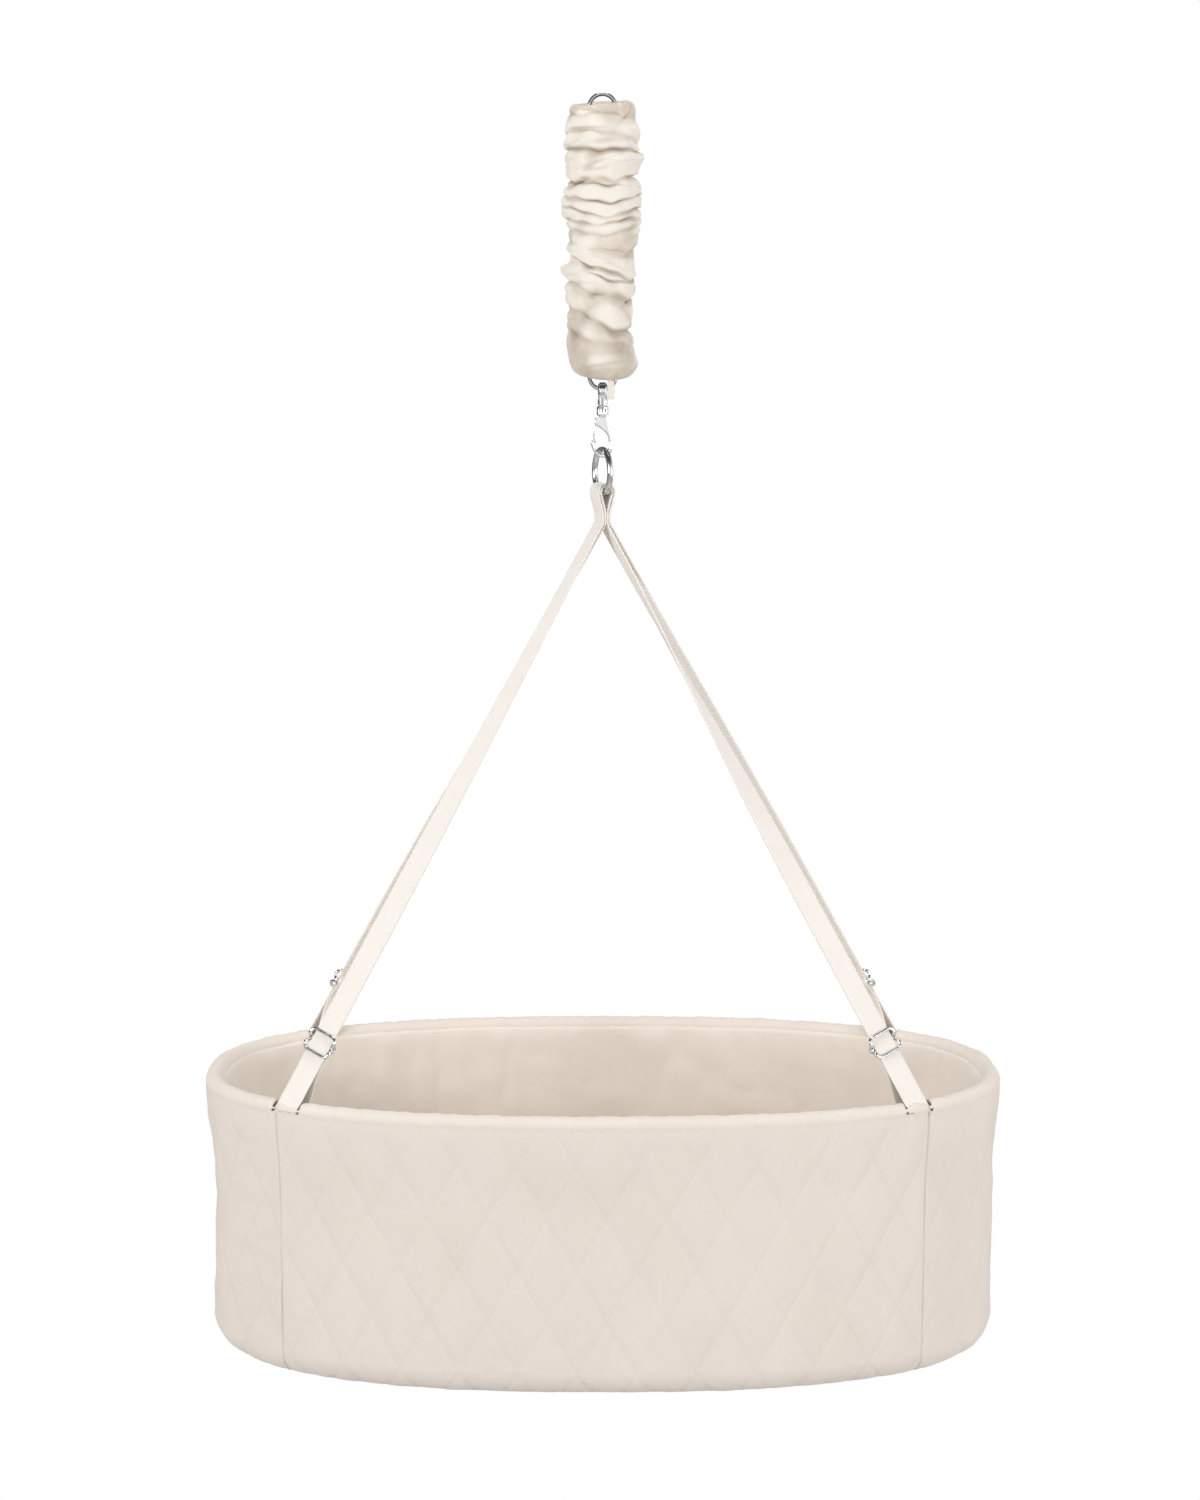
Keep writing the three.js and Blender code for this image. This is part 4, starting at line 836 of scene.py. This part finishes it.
def sleeve():
    top_z, length, hem = -2.0, SLEEVE_LENGTH, 5.0
    foot_h, foot_in = 15.0, 13.0
    small_folds, most_hang = 58, 2.6
    # Radii that keep the cloth, and its ends tucked in, clear of the coil.
    least_r, tucked_r = 19.3, 18.0
    nu, nv = 240, 420
    turns = np.linspace(0, 2 * math.pi, nu, endpoint=False)
    s = np.linspace(0, 1, nv)
    t, q = np.meshgrid(turns, s, indexing="ij")
    edge_at, *edges = zip(*EDGES)
    left, right = (np.interp(q, edge_at, edge) for edge in edges)
    radius = (left + right) / 2 + (right - left) / 2 * np.cos(t) + 0.8 * np.sin(2 * t + 5 * q)
    rng = np.random.default_rng(2024)
    lift = np.zeros_like(t)
    hang = np.zeros_like(t)
    for *places, deep, wide in FOLDS:
        start = rng.uniform(0, 2 * math.pi)
        waver = 0.005 * np.sin(4 * t + start) + 0.0025 * np.sin(9 * t + 2 * start)
        line = round_it(places, t) + waver
        fade = 0.72 + 0.28 * np.sin(2 * t + 1.7 * start) * np.sin(t + start)
        x = (q - line) / (1.2 * wide)
        lift += 0.95 * deep * fade * fold(x)
        hang += 2.2 * min(1.0, deep / 0.11) * fade * np.exp(-(((x + 1.0) / 1.1) ** 2))
    for _ in range(small_folds):
        at = rng.uniform(0.02, 0.97)
        mid = rng.uniform(0, 2 * math.pi)
        reach = rng.uniform(0.3, 0.95)
        slant = rng.normal(0, 0.035)
        wide = rng.uniform(0.0055, 0.013)
        deep = rng.uniform(0.03, 0.075) * (0.5 if 0.44 < at < 0.54 or at > 0.82 else 1.0)
        gone = (t - mid + math.pi) % (2 * math.pi) - math.pi
        line = at + slant * gone + 0.010 * np.sin(gone * 1.7 + mid)
        x = (q - line) / wide
        lift += deep * np.exp(-((gone / reach) ** 2)) * fold(x)
        hang += 14.0 * deep * np.exp(-((gone / reach) ** 2) - ((x + 1.0) / 1.1) ** 2)
    lift += 0.022 * np.sin(3 * t + 14 * q + 1.0) + 0.018 * np.sin(5 * t - 23 * q)
    lift += 0.028 * np.sin(2 * t + 37 * q + 2.0 * np.sin(3 * t))
    tame = smooth_step(q / 0.03) * smooth_step((1 - q) / 0.06)
    out = radius * (1 + np.clip(lift, -0.3, 0.16) * tame)
    # The hem turns in at the top, and the foot is drawn in like a bag's.
    top_in = hem * (1 - np.sqrt(np.clip(1 - (1 - np.clip(q * length / hem, 0, 1)) ** 2, 0, 1)))
    low = np.clip((1 - q) * length / foot_h, 0, 1)
    out = out - 0.8 * top_in - foot_in * (1 - np.sqrt(np.clip(1 - (1 - low) ** 2, 0, 1)))
    gathers = np.sin(17 * t + 3 * np.sin(2 * t)) + 0.6 * np.sin(29 * t + 1.0)
    out += 0.45 * gathers * np.exp(-((low / 0.9) ** 2)) + 0.3 * gathers * np.exp(-((q / 0.02) ** 2))
    out = np.maximum(out, least_r)
    # Both hems dip a little, the lower one over the tab.
    hem_low = math.atan2(TAB_Y, TAB_X)

    def height(share):
        upper = top_z - 4.0 * (1 - np.cos(-t - hem_low))
        lower = top_z - length + 4.0 * (1 - np.cos(t - hem_low))
        return upper + (lower - upper) * share

    # Each fold's upper cloth hangs down over its crease.
    waver = 0.5 * np.sin(4 * t + 1.0) * np.exp(-((q / 0.03) ** 2))
    z = height(q) + waver - np.minimum(hang, most_hang) * tame
    points = np.stack([out * np.cos(t), out * np.sin(t), z], -1)

    def tucked(edge, insets):
        rows = []
        for inset, up in insets:
            rr = np.maximum(out[:, edge] - inset, tucked_r)
            rows.append(np.stack([rr * np.cos(turns), rr * np.sin(turns), z[:, edge] + up], -1))
        return np.stack(rows, 1)

    under = tucked(-1, ((1.0, 1.2), (1.4, 4.5), (1.6, 12.0)))
    over = tucked(0, ((4.6, -12.0), (4.2, -4.5), (2.6, -0.9)))
    full = np.concatenate([over, points, under], 1)
    cloth = length * SLEEVE_GATHER
    drop = np.concatenate([[-14.0, -6, -2], s * cloth, cloth + np.array([2.0, 6, 14])])
    uv = np.stack(np.meshgrid(turns * SLEEVE_R, drop, indexing="ij"), -1).reshape(-1, 2)
    faces = [f[::-1] for f in grid_faces(nu, full.shape[1], loop_u=True)]
    obj = make_object("sleeve_cloth", full.reshape(-1, 3), faces, uv, sateen_cloth)
    # Painted shade and a painted highlight in the cloth's colour, from its folds: painted shade
    # where a place is closed in, a painted highlight where it stands out.
    closed = np.clip(-lift * tame / 0.075, 0, 1) ** 1.1
    painted_crest_highlight = np.clip((lift * tame - 0.03) / 0.09, 0, 1)
    for layer, amount in (("crease", closed), ("painted_crest_highlight", painted_crest_highlight)):
        amount = np.pad(amount, ((0, 0), (over.shape[1], under.shape[1])))
        obj.data.attributes.new(layer, "FLOAT", "POINT").data.foreach_set("value", amount.ravel())
    thicken(obj, SLEEVE_T)
    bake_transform(obj)
    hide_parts("spring_sleeve")
    return obj


# Wires: smooth tubes along a path

def tube(name, path, radius, sides, material, looped=False):
    path = np.asarray(path, float)
    n = len(path)
    ahead = np.roll(path, -1, 0) - np.roll(path, 1, 0)
    if not looped:
        ahead[0], ahead[-1] = path[1] - path[0], path[-1] - path[-2]
    ahead /= np.linalg.norm(ahead, axis=1, keepdims=True)
    normal = np.cross(ahead[0], [0.3, 0.5, 0.8])
    normals = []
    for i in range(n):
        normal = normal - ahead[i] * (normal @ ahead[i])
        normal /= np.linalg.norm(normal)
        normals.append(normal)
    normals = np.array(normals)
    other = np.cross(ahead, normals)
    turn = np.linspace(0, 2 * math.pi, sides, endpoint=False)
    pts = path[:, None] + radius * (
        np.cos(turn)[None, :, None] * normals[:, None]
        + np.sin(turn)[None, :, None] * other[:, None]
    )
    faces = grid_faces(n, sides, loop_u=looped, loop_v=True)
    if not looped:
        faces.append(tuple(range(sides)))
        faces.append(tuple((n - 1) * sides + k for k in range(sides))[::-1])
    return outward(make_object(name, pts.reshape(-1, 3), faces, None, material))


def coil():
    """An even helix between the spring's two loops."""
    steps = 20
    i = np.arange(COIL_TURNS * steps + 1)
    angle = 2 * math.pi * i / steps
    z = COIL_TOP_Z - (COIL_TOP_Z - COIL_LOW_Z) * i / (COIL_TURNS * steps)
    path = np.stack([COIL_R * np.cos(angle), COIL_R * np.sin(angle), z], -1)
    obj = tube("coil_wire", path, SPRING_WIRE_R, 8, spring_steel)
    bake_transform(obj)
    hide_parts("spring_coil")


coil()
sleeve_obj = sleeve()


# Straps: each runs from one foot up over the ring and down to the foot across from it

def ribbon(name, at, across, cup, material, width=WEB_W, thick=WEB_T):
    """A flat woven strip with round edges, along the places `at`."""
    at = np.asarray(at, float)
    across = np.asarray(across, float)
    across /= np.linalg.norm(across, axis=1, keepdims=True)
    cup = np.asarray(cup, float)
    ahead = np.gradient(at, axis=0)
    ahead /= np.linalg.norm(ahead, axis=1, keepdims=True)
    normal = np.cross(ahead, across)
    normal /= np.linalg.norm(normal, axis=1, keepdims=True)
    run = run_along(at)
    half = width / 2
    face = np.linspace(-half + 0.5, half - 0.5, 11)
    ring = [(x, thick / 2) for x in face]
    ring += [(half - 0.12, thick * 0.3), (half, 0.0), (half - 0.12, -thick * 0.3)]
    ring += [(x, -thick / 2) for x in face[::-1]]
    ring += [(-half + 0.12, -thick * 0.3), (-half, 0.0), (-half + 0.12, thick * 0.3)]
    ring = np.array(ring)
    # A raised selvage along each edge, and a slightly hollow middle.
    share = np.abs(ring[:, 0]) / half
    ring[:, 1] += np.sign(ring[:, 1]) * (0.12 * np.exp(-(((share - 0.9) / 0.07) ** 2)) - 0.05)
    side, out = ring[None, :, 0, None], ring[None, :, 1, None]
    pts = at[:, None] + across[:, None] * side + normal[:, None] * out
    pts[..., 2] += cup[:, None] * (ring[None, :, 0] / half) ** 2
    n, m = pts.shape[:2]
    faces = grid_faces(n, m, loop_v=True)
    faces.append(tuple(range(m)))
    faces.append(tuple((n - 1) * m + k for k in range(m))[::-1])
    uv = np.stack(np.broadcast_arrays(ring[None, :, 0], run[:, None]), -1).reshape(-1, 2)
    return outward(make_object(name, pts.reshape(-1, 3), faces, uv, material))


def even(at, across, cup, step):
    """The same path with places a step apart, and its corners eased."""
    at, across, cup = np.array(at), np.array(across), np.array(cup, float)
    run = run_along(at)
    fine = np.linspace(0, run[-1], int(run[-1] / step) + 1)

    def sample(values):
        return np.stack([np.interp(fine, run, values[:, k]) for k in range(3)], -1)

    a, c, k = sample(at), sample(across), np.interp(fine, run, cup)
    kernel = np.exp(-((np.arange(-4, 5) * step / 2.2) ** 2))
    kernel /= kernel.sum()
    for values in (a, c):
        padded = np.pad(values, ((4, 4), (0, 0)), mode="reflect", reflect_type="odd")
        for i in range(3):
            values[:, i] = np.convolve(padded[:, i], kernel, "valid")
    return a, c, k


def leg_place(leg, up, out):
    return leg["foot"] + leg["rise"] * up + leg["face"] * out


def leg_path(leg):
    """From the crown's end down the leg and half round the hoop."""
    twist_run = leg["length"] - 185.0
    turn0 = math.atan2(CROWN_ACROSS[1], CROWN_ACROSS[0])
    turn1 = math.atan2(leg["goal"][1], leg["goal"][0])
    at, across = [leg["start"]], [CROWN_ACROSS]
    for run in np.arange(0, leg["length"], 4.0):
        share = float(smooth_step(run / twist_run))
        turn = turn0 + (turn1 - turn0) * share
        at.append(leg_place(leg, leg["length"] - run, WRAP_R))
        across.append(np.array([math.cos(turn), math.sin(turn), 0.0]))
    for turn in np.linspace(0, math.pi, 17):
        round_hoop = leg["square"] * WRAP_R * math.sin(turn)
        at.append(leg_place(leg, 0, WRAP_R * math.cos(turn)) - round_hoop)
        across.append(leg["goal"])
    return at, across


def crown_path(layer):
    """Up one side, over the ring's wire and down the other; layer 1 lies on layer 0."""
    offset = WEB_T / 2 + layer * (WEB_T + GAP)
    wide, tall, narrow = 5.0 + offset, 4.4 + offset, GAP / 2 + offset
    cup0 = RING_R - math.sqrt(RING_R ** 2 - (WEB_W / 2) ** 2)
    at, cup = [], []

    def side(way, down):
        eased = 1 - float(smooth_step(down))
        out = narrow + (wide - narrow) * eased + layer * 0.7 * 4 * down * (1 - down)
        at.append(CROWN_SIDE * (way * out) + np.array([0, 0, CROWN_Z - 19.0 * down]))
        cup.append(cup0 * eased)

    for down in np.linspace(1, 0, 14):
        side(-1, down)
    for turn in np.linspace(0, math.pi, 24)[1:-1]:
        up = np.array([0, 0, CROWN_Z + tall * math.sin(turn)])
        at.append(CROWN_SIDE * (-wide * math.cos(turn)) + up)
        cup.append(cup0)
    for down in np.linspace(0, 1, 14):
        side(1, down)
    return at, cup


def strap(name, left, right, layer, replaced):
    left_at, left_across = leg_path(FRAMES[left])
    right_at, right_across = leg_path(FRAMES[right])
    crown_at, crown_cup = crown_path(layer)
    at = left_at[::-1] + crown_at + right_at
    across = left_across[::-1] + [CROWN_ACROSS] * len(crown_at) + right_across
    cup = [0.0] * len(left_at) + crown_cup + [0.0] * len(right_at)
    a, c, k = even(at, across, cup, 1.6)
    obj = ribbon(name, a, c, k, strap_cloth)
    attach(obj, "cradle")
    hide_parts(*replaced)


strap("inner_strap_web", "back_left", "front_right", 0,
      ["strap_inner_crown", "strap_inner_front_right", "strap_inner_back_left"])
strap("outer_strap_web", "front_left", "back_right", 1,
      ["strap_outer_crown", "strap_outer_front_left", "strap_outer_back_right"])


def strap_return(name, leg):
    """The strap's own end: from under the hoop back up, and round the slider's middle bar."""
    close = WRAP_R - (WEB_T + GAP) - 0.2
    bar_out = WRAP_R - (WEB_T / 2 + GAP + SLIDER_WIRE_R)
    r = SLIDER_WIRE_R + 0.25 + WEB_T / 2
    at = [leg_place(leg, 0, -WRAP_R)]
    rows = [
        (3, -7.6), (8, -7.1), (16.1, -5.4), (24, -2.0), (32.2, 1.6), (40, 4.0), (46, 5.1),
        (54, 5.35),
    ]
    at += [leg_place(leg, up, min(out, close)) for up, out in rows]
    behind = bar_out - r
    at.append(leg_place(leg, SLIDER_UP - 10.0, (close + behind) / 2))
    for turn in np.linspace(-math.pi / 2, math.pi * 0.42, 12):
        at.append(leg_place(leg, SLIDER_UP + r * math.cos(turn), bar_out + r * math.sin(turn)))
    goal = leg["goal"]
    square = goal - leg["rise"] * (goal @ leg["rise"])
    square /= np.linalg.norm(square)
    at = np.array(at)
    ups = (at - leg["foot"]) @ leg["rise"]
    share = smooth_step((ups - 10) / 45.0)[:, None]
    across = goal * (1 - share) + square * share
    a, c, k = even(at, across, np.zeros(len(at)), 1.2)
    obj = ribbon("return_" + name, a, c, k, strap_cloth)
    start = leg_place(leg, 14.0, 0)
    end = leg_place(leg, 60.0, WRAP_R)
    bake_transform(obj)


# Sliders: a bowed oval of wire with a bar across its middle

def slider(name, leg):
    across = unit(np.cross(leg["face"], leg["rise"]))
    centre = leg_place(leg, SLIDER_UP, WRAP_R)
    wire, corner = SLIDER_WIRE_R, SLIDER_CORNER_R
    half_w, half_l = WEB_W / 2 + SLIDER_SIDE_GAP + wire, SLIDER_LENGTH / 2 - wire
    step_out = WEB_T / 2 + GAP + wire
    flat = half_l - corner

    def place(w, u, n):
        return centre + across * w + leg["rise"] * u + leg["face"] * n

    def bowed(w, u):
        return place(w, u, step_out * (2 * float(smooth_step(abs(u) / flat)) - 1))

    path = []
    for cw, cu, first in ((1, 1, 0.0), (-1, 1, 0.5), (-1, -1, 1.0), (1, -1, 1.5)):
        if (cw, cu) == (-1, -1):
            path += [bowed(-half_w, u) for u in np.linspace(flat, -flat, 11)[1:-1]]
        for turn in np.linspace(first, first + 0.5, 9) * math.pi:
            path.append(bowed(cw * (half_w - corner) + corner * math.cos(turn),
                              cu * flat + corner * math.sin(turn)))
        if (cw, cu) in ((1, 1), (-1, -1)):
            run = np.linspace(cw * (half_w - corner), -cw * (half_w - corner), 7)[1:-1]
            path += [bowed(w, cu * half_l) for w in run]
    path += [bowed(half_w, u) for u in np.linspace(-flat, flat, 11)[1:-1]]
    frame_part = tube("slider_frame_" + name, path, wire, 14, chrome, looped=True)
    bar = [place(w, 0, -step_out) for w in np.linspace(-half_w, half_w, 9)]
    middle = tube("slider_bar_" + name, bar, wire, 14, chrome)
    for obj in (frame_part, middle):
        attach(obj, "slider_" + name)
    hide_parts("slider_" + name)


for leg_name, leg_at in FRAMES.items():
    slider(leg_name, leg_at)
    strap_return(leg_name, leg_at)


# Ring, loops, hoop and the sleeve's tab

def circle(radius, count, place):
    turn = np.linspace(0, 2 * math.pi, count, endpoint=False)
    return [place(radius * math.cos(t), radius * math.sin(t)) for t in turn]


def add_ring():
    s, c = math.sin(RING_TURN), math.cos(RING_TURN)
    path = circle(RING_R, 96, lambda v, z: (-v * s, v * c, CROWN_Z + RING_R + z))
    obj = tube("ring", path, RING_WIRE_R, 20, ring_steel, looped=True)
    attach(obj, "strap_ring")
    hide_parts("strap_ring")


def bezier(p0, p1, p2, p3, count):
    t = np.linspace(0, 1, count)[:, None]
    p0, p1, p2, p3 = (np.array(p, float) for p in (p0, p1, p2, p3))
    return (1 - t) ** 3 * p0 + 3 * (1 - t) ** 2 * t * p1 + 3 * (1 - t) * t ** 2 * p2 + t ** 3 * p3


def loop(name, body, centre_z, coil_end_z, way, node):
    """A round loop of the spring's wire that leads into the coil's end."""
    open_turn = math.radians(48)
    path = []
    for share in np.linspace(0, 1, 61):
        turn = way * (math.pi / 2 - (open_turn - 2 * math.pi) * (1 - share))
        path.append((LOOP_R * math.cos(turn), 0.0, centre_z + LOOP_R * math.sin(turn)))
    last = path[-1]
    lead = bezier(last, (LOOP_R / 2, 0, last[2]), (COIL_R, way * COIL_R / 2, coil_end_z),
                  (COIL_R, way * GAP, coil_end_z), 22)
    path = np.vstack([path, lead[1:]])
    obj = tube(name, path, SPRING_WIRE_R, 16, spring_steel)
    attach(obj, body)
    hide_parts(node)


def add_hoop():
    runs = np.linspace(0, AROUND, 420, endpoint=False)
    path = [(x, y, HOOP_Z) for x, y in oval(turn_at(runs))]
    obj = tube("hoop", path, HOOP_WIRE_R, 16, hoop_wood, looped=True)
    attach(obj, "cradle")
    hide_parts("rim_hoop")


add_ring()
loop("top_loop", "spring_top", TOP_LOOP_Z, COIL_TOP_Z, -1, "spring_top_loop")
loop("bottom_loop", "spring_bottom", LOW_LOOP_Z, COIL_LOW_Z, 1, "spring_bottom_loop")
add_hoop()


def tab():
    """A small folded tape at the sleeve's lower hem."""
    top, length, width, thick = -270.3, 18.0, 6.5, 1.36
    v = np.linspace(0, length, 26)
    sway = 0.7 * np.sin(v / length * 2.6)
    at = np.stack([TAB_X + 0.4 * sway, TAB_Y - 0.3 * sway, top - v], -1)
    across = np.tile([1.0, 0.0, 0.0], (len(v), 1))
    obj = ribbon("hem_tab", at, across, np.zeros(len(v)), lining_cloth, width, thick)
    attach(obj, "spring_bottom")
    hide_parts("sleeve_tab")
    return obj


tab()

# Nodes of the model that are shown as they are, with their materials
CARRIED = {
    "snap_eye": chrome, "snap_hook": chrome, "snap_gate": chrome, "gate_rivet": chrome,
    "gate_spring": spring_steel, "base_board": board_wood,
}
for node, material in CARRIED.items():
    obj = bpy.data.objects[node]
    obj.data.materials.clear()
    obj.data.materials.append(material)
    obj.data.shade_smooth()

# A pale floor well below the cradle
FLOOR_HALF, FLOOR_Z = 12000, -3400
corners = [
    (x * FLOOR_HALF, y * FLOOR_HALF, FLOOR_Z) for x, y in ((-1, -1), (1, -1), (1, 1), (-1, 1))
]
floor = make_object("floor", corners, [(0, 1, 2, 3)], smooth=False)
floor_mat, floor_tree, floor_shader = new_material("studio_floor")
floor_shader.inputs["Base Color"].default_value = (0.9, 0.9, 0.9, 1)
floor_shader.inputs["Roughness"].default_value = 0.9
floor.data.materials.append(floor_mat)
glow = floor_tree.nodes.new("ShaderNodeEmission")
ray = floor_tree.nodes.new("ShaderNodeLightPath")
either = floor_tree.nodes.new("ShaderNodeMixShader")
floor_tree.links.new(ray.outputs["Is Camera Ray"], either.inputs[0])
floor_tree.links.new(floor_shader.outputs[0], either.inputs[1])
floor_tree.links.new(glow.outputs[0], either.inputs[2])
floor_tree.links.new(either.outputs[0], floor_tree.nodes["Material Output"].inputs[0])
